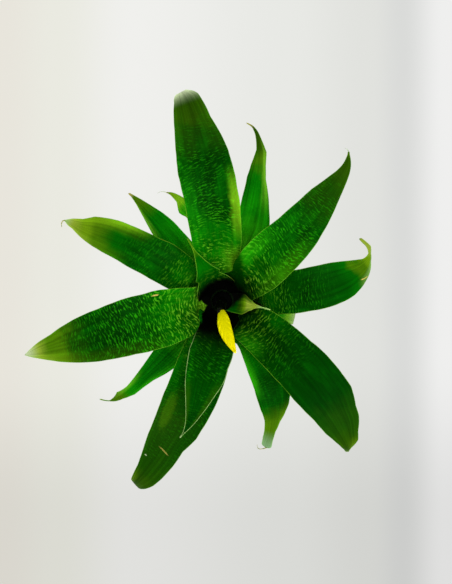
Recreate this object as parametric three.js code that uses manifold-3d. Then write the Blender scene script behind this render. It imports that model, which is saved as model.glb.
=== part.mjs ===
// Vriesea ospinae: a bare-root bromeliad rosette with a young yellow flower spike, in millimetres.
// +Z is up, +Y is away from a viewer who looks down on the plant, and the origin is the middle of
// the stem's cut foot. Sixteen strap leaves stand on a short stem in a spiral. Their sheaths nest
// round the stem as a funnel-shaped tank, and their blades arch outwards, the oldest lowest.
import * as THREE from 'three';
import { mergeVertices } from 'three/addons/utils/BufferGeometryUtils.js';
import Module from 'manifold-3d';

const wasm = await Module();
wasm.setup();

// Stem and roots
const STEM_FOOT_RADIUS = 8.6;
const STEM_RADIUS = 9.2;
const STEM_TOP_RADIUS = 7;
const STEM_HEIGHT = 50;
const STEM_SHOULDER = 2.4; // height over which the stem's top rounds in
const STEM_SIDES = 18;
const SCAR_PITCH = 4.6; // height from one leaf-scar ridge to the next
const SCAR_DEPTH = 0.45;
const ROOT_COUNT = 13;
const ROOT_RADIUS = 1.15;
const ROOT_REACH = 38; // how far a root's cut end lies from the stem's axis
const ROOT_SIDES = 6;
const ROOT_STEPS = 6;

// The nest of sheaths: each leaf's sheath is a parallel copy of the innermost one, further out
const NEST_PITCH = 1.35; // from one sheath to the next, thickness and gap together
const SHEATH_START_RADIUS = 9.9;
const SHEATH_START_HEIGHT = 46; // of the innermost leaf
const RISE_AT_STEM = 30; // degrees above the horizontal
const RISE_AT_WALL = 80;
const TURN_LENGTH = 15; // arc over which the innermost sheath turns up from the stem to the wall
const WALL_LENGTH = 49; // straight wall of the innermost sheath, above the turn
const WALL_LOSS = 3.1; // how much shorter each older leaf's wall is

// Leaf thickness and mesh
const SHEATH_THICKNESS = 0.75;
const BLADE_THICKNESS = 1.0;
const MARGIN_THICKNESS = 0.7;
const TIP_HALF_WIDTH = 0.55;
const STRIPS_ACROSS = 8;
const TURN_STEPS = 4;
const WALL_STEP = 16;
const BLADE_STEPS = 14;
const ROW_CROWDING = 0.25; // how much closer the blade's rows stand towards the tip
const CURVE_STEP = 1; // spacing of the points from which a leaf's curve is read
const TANGENT_STEP = 0.4; // arc to each side over which a leaf's direction is measured
const NECK_LENGTH = 45; // arc over which the wrapped sheath opens into the blade
const FLATTEN_FROM = 0.55; // share of the blade from which its channel flattens towards the tip
const LEAST_BEND = 1e-5; // curvature below which a leaf counts as flat across

// What most leaves share. Angles are in degrees, places along the blade are shares of its length.
const MATURE = {
  fall: -25, // slope of the midrib at the tip
  curl: 1.9, // how early the blade leans over
  droop: 0, // further fall of the end
  droopFrom: 0.8,
  sweep: 0, // sideways turn of the midrib, seen from above, over the whole blade
  hook: 0, // further sideways turn of the end
  hookFrom: 0.86,
  channel: 2, // how far the margins stand above the midrib, halfway out
  belly: 23, // half-width of the sheath at its widest
  neck: 0.84, // share of the blade's width that is left where the sheath ends
  peak: 0.28, // where the blade is widest
  taper: 1.6,
  point: 1.4, // how drawn out the tip is
};
// Broad leaves whose end bends down, so that it looks blunt from above
const BLUNT = { ...MATURE, peak: 0.45, taper: 2.2, point: 1.0, droop: -50 };
// Old, short and narrow leaves below the others
const SLIM = { ...MATURE, fall: -30, curl: 2.2, peak: 0.2, taper: 1.5, point: 1.3 };

// From the youngest to the oldest, each about 137 degrees round from the last. Azimuth 0 is +X.
const LEAVES = [
  {
    ...MATURE, azimuth: -7, blade: 34, halfWidth: 4.4, fall: 42, curl: 1.0, sweep: -12,
    channel: 1.5, belly: 10, neck: 1, peak: 0.03, taper: 0.8, point: 1.6,
  },
  {
    ...MATURE, azimuth: 118, blade: 85, halfWidth: 13, fall: 55, curl: 1.0,
    channel: 6, peak: 0.15, taper: 1.1, point: 2.0,
  },
  {
    ...MATURE, azimuth: 257.5, blade: 125, halfWidth: 19, fall: 5, curl: 1.2,
    sweep: -10, hook: -16, hookFrom: 0.81, peak: 0.37, taper: 1.96, point: 1.5,
  },
  {
    ...MATURE, azimuth: 42.5, blade: 173, halfWidth: 23, fall: -22, curl: 1.7,
    sweep: 18.5, hook: 27, peak: 0.26, taper: 1.57, point: 1.12,
  },
  { ...MATURE, azimuth: 195, blade: 178, halfWidth: 25.3, curl: 1.8, taper: 2.2, point: 0.92 },
  { ...BLUNT, azimuth: 323.5, blade: 187, halfWidth: 23.7, sweep: -48.5, peak: 0.5, point: 1.2 },
  {
    ...BLUNT, azimuth: 94.5, blade: 216, halfWidth: 23.5, fall: -20,
    sweep: 25, droop: -62, droopFrom: 0.7, peak: 0.4, taper: 2.07, point: 0.95,
  },
  {
    ...BLUNT, azimuth: 253, blade: 207, halfWidth: 22.7, curl: 2.0,
    sweep: -37, droop: -62, droopFrom: 0.7, peak: 0.26, taper: 1.7, point: 0.95,
  },
  {
    ...MATURE, azimuth: 6.5, blade: 152, halfWidth: 19.6, curl: 2.0,
    sweep: 40, hook: 92, hookFrom: 0.72, peak: 0.55, taper: 1.54, point: 2.0,
  },
  {
    ...MATURE, azimuth: 145, blade: 153.5, halfWidth: 18.3, fall: -30, curl: 2.1,
    sweep: 35, hook: -20, hookFrom: 0.72, peak: 0.32, taper: 2.67, point: 0.98,
  },
  {
    ...SLIM, azimuth: 301, blade: 134, halfWidth: 14.5,
    sweep: -26, hook: -40, hookFrom: 0.4, peak: 0.52, taper: 1.3, point: 1.26,
  },
  {
    ...SLIM, azimuth: 69.5, blade: 165, halfWidth: 15,
    sweep: 38.5, hook: 48, hookFrom: 0.87, peak: 0.36, taper: 1.1, point: 1.44,
  },
  {
    ...SLIM, azimuth: 225, blade: 134, halfWidth: 14.5, curl: 2.3,
    sweep: -7, hook: -48.5, hookFrom: 0.74, peak: 0.29, taper: 1.1, point: 1.6,
  },
  { ...MATURE, azimuth: 349, blade: 44.5, halfWidth: 15, fall: -30, curl: 2.0, droop: -30 },
  { ...SLIM, azimuth: 129, blade: 114, halfWidth: 14, curl: 2.3, sweep: 8, taper: 1.84, point: 1.26 },
  {
    ...SLIM, azimuth: 105.5, blade: 95.5, halfWidth: 12, curl: 2.3,
    sweep: 47, hook: 17, hookFrom: 0.89, peak: 0.12, taper: 1.4, point: 0.9,
  },
];
const SHEATH_ROOT_HALF_WIDTH = 10;
const SHEATH_BELLY_AT = 0.45;

// Flower stalk and spike, as points along their middle
const STALK_PATH = [[0, 0, 50.4], [0, 0, 60], [-0.6, -2.5, 80], [-1.6, -8.2, 98]];
const SPIKE_PATH = [
  [-1.6, -8.6, 98.5], [0.2, -15, 114], [2.2, -24, 130], [6.1, -33, 145.5], [11, -41.6, 159.5],
];
const STALK_RADIUS = 3.2;
const STALK_BRACTS = 6;
const STALK_BRACT_SHARE = 0.42; // length of a bract, as a share of the stalk's
const STALK_BRACT_TURN = 144; // degrees from one bract to the next
const SPIKE_BRACTS = 12; // in two ranks
const SPIKE_BRACT_SHARE = 0.36;
const SPIKE_LAST_BRACT = 0.76; // where the last bract starts, as a share of the spike's length
const SPIKE_HALF_WIDTH = 5.9;
const SPIKE_HALF_DEPTH = 2.9;
const BRACT_EDGE = 0.35; // half the thickness of a bract's keel

const radians = THREE.MathUtils.degToRad;
const ease = (t) => THREE.MathUtils.smoothstep(t, 0, 1);

// A solid from a closed three.js geometry.
function toSolid(geometry) {
  const bare = new THREE.BufferGeometry();
  bare.setAttribute('position', geometry.getAttribute('position'));
  if (geometry.index) bare.setIndex(geometry.index);
  const merged = mergeVertices(bare, 1e-4);
  return new wasm.Manifold(new wasm.Mesh({
    numProp: 3,
    vertProperties: merged.attributes.position.array,
    triVerts: new Uint32Array(merged.index.array),
  }));
}

// A three.js geometry from a solid.
function toGeometry(solid) {
  const mesh = solid.getMesh();
  const geometry = new THREE.BufferGeometry();
  geometry.setAttribute('position', new THREE.BufferAttribute(mesh.vertProperties, 3));
  geometry.setIndex(new THREE.BufferAttribute(mesh.triVerts, 1));
  return geometry;
}

// A closed skin over a stack of rings that all have the same number of points, from first to last.
function loft(rings) {
  const count = rings[0].length;
  const positions = rings.flat().flatMap((point) => point.toArray());
  const index = [];
  for (let i = 0; i + 1 < rings.length; i += 1) {
    for (let j = 0; j < count; j += 1) {
      const a = i * count + j;
      const b = i * count + (j + 1) % count;
      index.push(a, b, a + count, b, b + count, a + count);
    }
  }
  const last = (rings.length - 1) * count;
  for (let j = 1; j + 1 < count; j += 1) {
    index.push(0, j + 1, j);
    index.push(last, last + j, last + j + 1);
  }
  const geometry = new THREE.BufferGeometry();
  geometry.setAttribute('position', new THREE.Float32BufferAttribute(positions, 3));
  geometry.setIndex(index);
  return geometry;
}

// The arcs of one leaf: straight run from the stem, turn, wall and blade, one after another.
function leafArcs(leaf, age) {
  const shift = NEST_PITCH * age;
  const run = shift * Math.tan(radians(RISE_AT_STEM));
  const turn = TURN_LENGTH + shift * radians(RISE_AT_WALL - RISE_AT_STEM);
  const wall = WALL_LENGTH - WALL_LOSS * age;
  const sheath = run + turn + wall;
  return { shift, run, turn, wall, sheath, whole: sheath + leaf.blade };
}

// Slope of the midrib above the horizontal, in degrees, at an arc from the stem.
function slopeAt(leaf, arcs, arc) {
  if (arc < arcs.sheath) {
    return RISE_AT_STEM + (RISE_AT_WALL - RISE_AT_STEM) * ease((arc - arcs.run) / arcs.turn);
  }
  const t = (arc - arcs.sheath) / leaf.blade;
  const lean = leaf.fall + (RISE_AT_WALL - leaf.fall) * Math.pow(Math.max(1 - t, 0), leaf.curl);
  return lean + leaf.droop * ease((t - leaf.droopFrom) / (1 - leaf.droopFrom));
}

// Direction of the midrib seen from above, in degrees.
function headingAt(leaf, arcs, arc) {
  const t = Math.max(0, (arc - arcs.sheath) / leaf.blade);
  return leaf.azimuth + leaf.sweep * t * t + leaf.hook * ease((t - leaf.hookFrom) / (1 - leaf.hookFrom));
}

// Half the leaf's width at an arc from the stem.
function halfWidthAt(leaf, arcs, arc) {
  const neck = leaf.halfWidth * leaf.neck;
  if (arc < arcs.sheath) {
    const q = arc / arcs.sheath;
    if (q < SHEATH_BELLY_AT) {
      return THREE.MathUtils.lerp(SHEATH_ROOT_HALF_WIDTH, leaf.belly, ease(q / SHEATH_BELLY_AT));
    }
    return THREE.MathUtils.lerp(leaf.belly, neck, ease((q - SHEATH_BELLY_AT) / (1 - SHEATH_BELLY_AT)));
  }
  const t = (arc - arcs.sheath) / leaf.blade;
  if (t < leaf.peak) return THREE.MathUtils.lerp(neck, leaf.halfWidth, ease(t / leaf.peak));
  const x = Math.min(1, (t - leaf.peak) / (1 - leaf.peak));
  return Math.max(TIP_HALF_WIDTH, leaf.halfWidth * Math.pow(1 - Math.pow(x, leaf.taper), leaf.point));
}

// Points of the midrib at equal arcs, from the stem to the tip.
function midrib(leaf, arcs) {
  const cosRise = Math.cos(radians(RISE_AT_STEM));
  const sinRise = Math.sin(radians(RISE_AT_STEM));
  const startHeight = SHEATH_START_HEIGHT - arcs.shift * cosRise - arcs.run * sinRise;
  const count = Math.ceil(arcs.whole / CURVE_STEP);
  const step = arcs.whole / count;
  const azimuth = radians(leaf.azimuth);
  const point = new THREE.Vector3(
    SHEATH_START_RADIUS * Math.cos(azimuth),
    SHEATH_START_RADIUS * Math.sin(azimuth),
    startHeight,
  );
  const points = [point.clone()];
  for (let i = 0; i < count; i += 1) {
    const middle = (i + 0.5) * step;
    const slope = radians(slopeAt(leaf, arcs, middle));
    const heading = radians(headingAt(leaf, arcs, middle));
    point.x += step * Math.cos(slope) * Math.cos(heading);
    point.y += step * Math.cos(slope) * Math.sin(heading);
    point.z += step * Math.sin(slope);
    points.push(point.clone());
  }
  return { points, step };
}

// The point of the midrib at an arc from the stem.
function midribPoint(rib, arc) {
  const place = THREE.MathUtils.clamp(arc / rib.step, 0, rib.points.length - 1.000001);
  const i = Math.floor(place);
  return rib.points[i].clone().lerp(rib.points[i + 1], place - i);
}

// A point of the leaf's middle surface. across runs from -1 to 1, from right margin to left.
// In the sheath the leaf lies on a surface of revolution round the stem, so that nested sheaths
// never meet. Over the neck it passes into a channelled blade.
function leafPoint(leaf, arcs, rib, arc, across) {
  const middle = midribPoint(rib, arc);
  const slope = radians(slopeAt(leaf, arcs, arc));
  const heading = radians(headingAt(leaf, arcs, arc));
  const t = Math.max(0, (arc - arcs.sheath) / leaf.blade);
  const offset = across * halfWidthAt(leaf, arcs, arc);

  const radius = Math.hypot(middle.x, middle.y);
  const angle = Math.atan2(middle.y, middle.x) + offset / radius;
  const nested = new THREE.Vector3(radius * Math.cos(angle), radius * Math.sin(angle), middle.z);

  const side = new THREE.Vector3(-Math.sin(heading), Math.cos(heading), 0);
  const along = new THREE.Vector3(
    Math.cos(slope) * Math.cos(heading),
    Math.cos(slope) * Math.sin(heading),
    Math.sin(slope),
  );
  const inward = new THREE.Vector3().crossVectors(along, side);
  const wrap = Math.max(Math.sin(slope), 0) / radius;
  const flattened = ease((t - FLATTEN_FROM) / (1 - FLATTEN_FROM));
  const dish = (2 * leaf.channel / leaf.halfWidth ** 2) * (1 - flattened);
  const bend = Math.max(wrap + dish, LEAST_BEND);
  const open = middle.clone()
    .addScaledVector(side, Math.sin(bend * offset) / bend)
    .addScaledVector(inward, (1 - Math.cos(bend * offset)) / bend);
  return nested.lerp(open, ease((arc - arcs.sheath) / NECK_LENGTH));
}

// Arcs at which a leaf's mesh has a row of points.
function leafRows(leaf, arcs) {
  const rows = [0];
  if (arcs.run > 2) rows.push(arcs.run);
  for (let i = 1; i <= TURN_STEPS; i += 1) rows.push(arcs.run + (arcs.turn * i) / TURN_STEPS);
  for (let up = WALL_STEP; up < arcs.wall - WALL_STEP / 2; up += WALL_STEP) {
    rows.push(arcs.run + arcs.turn + up);
  }
  if (arcs.wall > WALL_STEP / 2) rows.push(arcs.sheath);
  for (let i = 1; i <= BLADE_STEPS; i += 1) {
    const share = i / BLADE_STEPS;
    rows.push(arcs.sheath + leaf.blade * share * (1 + ROW_CROWDING * (1 - share)));
  }
  return rows;
}

// Thickness of the leaf at an arc and a place across.
function thicknessAt(arcs, arc, across) {
  const opened = ease((arc - arcs.sheath) / NECK_LENGTH);
  const middle = THREE.MathUtils.lerp(SHEATH_THICKNESS, BLADE_THICKNESS, opened);
  return THREE.MathUtils.lerp(middle, MARGIN_THICKNESS, across * across);
}

// The closed skin of one leaf, with its thickness set off to both sides of the middle surface.
function leafGeometry(leaf, age) {
  const arcs = leafArcs(leaf, age);
  const rib = midrib(leaf, arcs);
  const rings = leafRows(leaf, arcs).map((arc) => {
    const upper = [];
    const lower = [];
    for (let j = 0; j <= STRIPS_ACROSS; j += 1) {
      const across = (2 * j) / STRIPS_ACROSS - 1;
      const at = (a, c) => leafPoint(leaf, arcs, rib, a, c);
      const ahead = at(Math.min(arc + TANGENT_STEP, arcs.whole), across);
      const along = ahead.sub(at(Math.max(arc - TANGENT_STEP, 0), across));
      const side = at(arc, across + 0.02).sub(at(arc, across - 0.02));
      const normal = along.cross(side).normalize();
      const half = thicknessAt(arcs, arc, across) / 2;
      const point = at(arc, across);
      upper.push(point.clone().addScaledVector(normal, half));
      lower.unshift(point.clone().addScaledVector(normal, -half));
    }
    return [...upper, ...lower];
  });
  return leafSkin(rings);
}

// A closed skin over a leaf's rows, with both faces split into triangles alike.
function leafSkin(rings) {
  const count = rings[0].length;
  const half = count / 2;
  const positions = rings.flat().flatMap((point) => point.toArray());
  const index = [];
  for (let i = 0; i + 1 < rings.length; i += 1) {
    for (let j = 0; j < count; j += 1) {
      const a = i * count + j;
      const b = i * count + (j + 1) % count;
      if (j < half) index.push(a, a + count, b, b, a + count, b + count);
      else index.push(a, b + count, b, a, a + count, b + count);
    }
  }
  const last = (rings.length - 1) * count;
  for (let j = 0; j + 1 < half; j += 1) {
    const across = count - 1 - j;
    index.push(j, j + 1, across, j + 1, across - 1, across);
    index.push(last + j, last + across, last + j + 1, last + j + 1, last + across, last + across - 1);
  }
  const geometry = new THREE.BufferGeometry();
  geometry.setAttribute('position', new THREE.Float32BufferAttribute(positions, 3));
  geometry.setIndex(index);
  return geometry;
}

// A round tube along a curve.
function tubeSolid(curve, radius, sides, steps) {
  const section = new THREE.Shape();
  for (let i = 0; i < sides; i += 1) {
    const angle = (2 * Math.PI * i) / sides;
    section[i ? 'lineTo' : 'moveTo'](radius * Math.cos(angle), radius * Math.sin(angle));
  }
  return toSolid(new THREE.ExtrudeGeometry(section, { steps, extrudePath: curve }));
}

// The stem: a cut foot, ridged with leaf scars, and a domed top that carries the flower stalk.
function stemSolid() {
  const profile = [new THREE.Vector2(0, 0), new THREE.Vector2(STEM_FOOT_RADIUS, 0)];
  const shoulder = STEM_HEIGHT - STEM_SHOULDER;
  for (let z = SCAR_PITCH / 2; z < shoulder; z += SCAR_PITCH / 2) {
    const ridge = Math.round((2 * z) / SCAR_PITCH) % 2 === 0 ? SCAR_DEPTH : 0;
    profile.push(new THREE.Vector2(STEM_RADIUS - ridge, z));
  }
  profile.push(new THREE.Vector2(STEM_RADIUS, shoulder), new THREE.Vector2(STEM_TOP_RADIUS, STEM_HEIGHT));
  profile.push(new THREE.Vector2(0, STEM_HEIGHT));
  return toSolid(new THREE.LatheGeometry(profile, STEM_SIDES).rotateX(Math.PI / 2));
}

// One wiry root, which leaves the stem, bends down and lies out along the surface to its cut end.
function rootSolid(number) {
  const vary = (rate) => Math.sin(rate * (number + 1));
  const turn = radians((number * 360) / ROOT_COUNT + 9 * vary(2.4));
  const height = 5 + 9 * vary(2.9) ** 2;
  const reach = ROOT_REACH * (1 - 0.3 * vary(1.9) ** 2);
  const lean = 0.3 * vary(3.7);
  const lying = ROOT_RADIUS * 0.8;
  const place = (radius, z, extra) => new THREE.Vector3(
    radius * Math.cos(turn + extra),
    radius * Math.sin(turn + extra),
    z,
  );
  const curve = new THREE.CatmullRomCurve3([
    place(4, height + 1, 0),
    place(11, height, 0),
    place(18, height * 0.45, lean * 0.4),
    place(reach * 0.7, lying, lean),
    place(reach, lying, lean * 1.7),
  ]);
  return tubeSolid(curve, ROOT_RADIUS, ROOT_SIDES, ROOT_STEPS);
}

// The stem and its roots as one solid, flat where it rests.
function stemWithRoots() {
  let solid = stemSolid();
  for (let i = 0; i < ROOT_COUNT; i += 1) solid = solid.add(rootSolid(i));
  const below = toSolid(new THREE.BoxGeometry(200, 200, 20).translate(0, 0, -10));
  return toGeometry(solid.subtract(below));
}

const pathCurve = (path) => new THREE.CatmullRomCurve3(path.map((point) => new THREE.Vector3(...point)));

// A bract that clasps a curve from one side. Its keel follows the outline at halfWidth, its inner
// margins cross the curve low down and run out to the keel at its tip. The part of a bract near its
// tip lies outside the bracts that start above it.
function bractSolid(curve, start, length, turn, halfWidth, halfDepth) {
  const stations = [0, 0.25, 0.5, 0.72, 0.9, 1];
  const rings = stations.map((v) => {
    const share = Math.min(1, start + v * length);
    const origin = curve.getPointAt(share);
    const forward = curve.getTangentAt(share);
    const level = new THREE.Vector3(0, 0, 1).cross(forward).normalize();
    const outward = level.applyAxisAngle(forward, turn);
    const face = forward.clone().cross(outward).normalize();
    const keel = halfWidth(share) * (1 + 0.07 * v) + 0.3;
    const inner = THREE.MathUtils.lerp(-0.45 * keel, keel - 0.7, ease((v - 0.25) / 0.75));
    const depth = halfDepth(share) * (0.86 + 0.16 * v) * (1 - 0.75 * ease((v - 0.7) / 0.3)) + 0.15;
    const middle = THREE.MathUtils.lerp(inner, keel, 0.45);
    const shoulder = THREE.MathUtils.lerp(inner, keel, 0.78);
    const section = [
      [inner, 0.8 * depth], [middle, depth], [shoulder, 0.75 * depth], [keel, BRACT_EDGE],
      [keel, -BRACT_EDGE], [shoulder, -0.75 * depth], [middle, -depth], [inner, -0.8 * depth],
    ];
    return section.map(([out, over]) => origin.clone()
      .addScaledVector(outward, out)
      .addScaledVector(face, over));
  });
  const solid = toSolid(loft(rings));
  return solid.volume() > 0 ? solid : toSolid(loft(rings.reverse()));
}

// The stalk, with green bracts that clasp it in a spiral.
function flowerStalk() {
  const curve = pathCurve(STALK_PATH);
  const width = () => STALK_RADIUS * 1.25;
  const depth = () => STALK_RADIUS * 1.15;
  let solid = tubeSolid(curve, STALK_RADIUS, 8, 10);
  for (let i = 0; i < STALK_BRACTS; i += 1) {
    const start = 0.06 + ((0.9 - STALK_BRACT_SHARE) * i) / (STALK_BRACTS - 1);
    const turn = radians(STALK_BRACT_TURN * i);
    solid = solid.add(bractSolid(curve, start, STALK_BRACT_SHARE, turn, width, depth));
  }
  return toGeometry(solid);
}

// The flat yellow spike: bracts in two ranks that overlap like tiles, and a blunt point.
function flowerSpike() {
  const curve = pathCurve(SPIKE_PATH);
  const outline = (share) => Math.sin(Math.PI * (0.14 + 0.83 * share)) ** 0.9;
  const width = (share) => SPIKE_HALF_WIDTH * outline(share);
  const depth = (share) => SPIKE_HALF_DEPTH * outline(share);
  let solid = tubeSolid(curve, 0.9, 6, 12);
  for (let i = 0; i < SPIKE_BRACTS; i += 1) {
    const start = (SPIKE_LAST_BRACT * i) / (SPIKE_BRACTS - 1);
    const length = Math.min(SPIKE_BRACT_SHARE, 1 - start);
    solid = solid.add(bractSolid(curve, start, length, i % 2 ? Math.PI : 0, width, depth));
  }
  return toGeometry(solid);
}

// Materials
const leafMaterial = new THREE.MeshStandardMaterial({ color: 0x0f5c08, roughness: 0.4, metalness: 0 });
const stemMaterial = new THREE.MeshStandardMaterial({ color: 0x5a4128, roughness: 0.85, metalness: 0 });
const stalkMaterial = new THREE.MeshStandardMaterial({ color: 0x5c7d1e, roughness: 0.5, metalness: 0 });
const spikeMaterial = new THREE.MeshStandardMaterial({ color: 0xf2e205, roughness: 0.4, metalness: 0 });

const plant = new THREE.Group();

// Puts one named piece into the plant.
function addPiece(name, geometry, material) {
  const piece = new THREE.Mesh(geometry, material);
  piece.name = name;
  plant.add(piece);
}

addPiece('stem_with_roots', stemWithRoots(), stemMaterial);
LEAVES.forEach((leaf, age) => {
  addPiece(`leaf_${String(age + 1).padStart(2, '0')}`, leafGeometry(leaf, age), leafMaterial);
});
addPiece('flower_stalk', flowerStalk(), stalkMaterial);
addPiece('flower_spike', flowerSpike(), spikeMaterial);

export default plant;
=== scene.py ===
"""A bare-root bromeliad rosette in flower, looked down on: leaves, stem, roots, stalk and spike.

Metres, +Z up, +Y away from a viewer who looks down on the plant, and the origin in the middle of
the stem's cut foot. Angles are in degrees where a name doesn't say otherwise.
"""

import logging
import math
from collections.abc import Sequence
from dataclasses import dataclass
from enum import Enum
from functools import reduce

import bmesh
import bpy
import numpy as np
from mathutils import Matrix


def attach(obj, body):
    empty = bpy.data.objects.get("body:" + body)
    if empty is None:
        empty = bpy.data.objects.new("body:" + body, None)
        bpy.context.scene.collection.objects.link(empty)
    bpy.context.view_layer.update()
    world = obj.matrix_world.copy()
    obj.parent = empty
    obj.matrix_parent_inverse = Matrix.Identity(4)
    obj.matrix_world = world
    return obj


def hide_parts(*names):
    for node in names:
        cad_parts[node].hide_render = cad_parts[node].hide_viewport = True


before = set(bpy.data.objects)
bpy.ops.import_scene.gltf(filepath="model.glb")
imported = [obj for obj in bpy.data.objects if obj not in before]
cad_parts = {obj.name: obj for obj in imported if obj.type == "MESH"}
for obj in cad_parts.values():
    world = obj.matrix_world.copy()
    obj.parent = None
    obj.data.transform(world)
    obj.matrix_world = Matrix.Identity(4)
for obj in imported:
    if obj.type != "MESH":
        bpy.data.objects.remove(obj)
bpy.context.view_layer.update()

BODY = "root"
MM = 0.001
MERGE_DISTANCE = 1e-6
DULL = 0.05  # specular level of a surface with hardly any sheen

Socket = bpy.types.NodeSocket
Value = float | tuple | Enum | Socket
Knots = tuple[tuple[float, float], ...]
log = logging.getLogger("bromeliad")


class Slot(Enum):
    """The record's material slots."""

    YOUNG_LEAF = "young_leaf"
    MATURE_LEAF = "mature_leaf"
    OLD_LEAF = "old_leaf"
    STEM = "stem"
    STALK = "stalk"
    SPIKE = "spike"


class Ink(Enum):
    """The plant's colours, as hexadecimal sRGB."""

    # painted shade: the near black that stands for the deep shade in the cup
    CUP_SHADE_BLACK = "060705"
    DEEP = "013a00"
    FOREST = "024a01"
    LEAF = "045f02"
    FRESH = "067603"
    BRIGHT = "129203"
    VIVID = "30b00a"
    SPRING = "84c81a"
    LIME = "86cc2c"
    PALE_LIME = "a9cf7a"
    MOSS = "184802"
    OLIVE = "2c5402"
    WARM_OLIVE = "4a7806"
    GOLD_GREEN = "74a010"
    PALE_GOLD = "a0b83a"
    STRAW = "c9b25a"
    TAN = "a8702a"
    SILVER = "c2d4a4"
    MIST = "7ea672"
    UNDERSIDE = "3d7a2c"
    BARK_CRACK = "23170d"
    BARK = "5a4128"
    BARK_RIDGE = "8a6d4a"
    # painted shade: the bark's near black where the cup shades it
    BARK_SHADE_BLACK = "030403"
    # painted shade: the stalk's colours, near black for the cup's shade that it stands in
    STALK = "050803"
    STALK_LINE = "040602"
    STALK_SHADE = "030402"
    STALK_KEEL = "080c05"
    BUD = "fff200"
    BUD_LINE = "fbe800"
    BUD_SHADE = "b4b400"
    BUD_KEEL = "ecd800"
    PAPER = "ebebe7"
    SKY = "f4f4f2"


def linear(colour: Ink | str) -> tuple[float, float, float, float]:
    """A colour as linear light.

    Args:
        colour: an ink, or six hexadecimal digits of sRGB.

    Returns:
        Red, green, blue and alpha.
    """
    code = colour.value if isinstance(colour, Ink) else colour
    parts = [int(code[i : i + 2], 16) / 255 for i in (0, 2, 4)]
    light = [p / 12.92 if p <= 0.04045 else ((p + 0.055) / 1.055) ** 2.4 for p in parts]
    return (*light, 1.0)


def ease(t: np.ndarray | float) -> np.ndarray:
    """Smooth step from 0 to 1, held flat outside."""
    t = np.clip(t, 0.0, 1.0)
    return t * t * (3 - 2 * t)


def lerp(a: np.ndarray | float, b: np.ndarray | float, t: np.ndarray | float) -> np.ndarray:
    """The value a share t of the way from a to b."""
    return a + (b - a) * t


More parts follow.
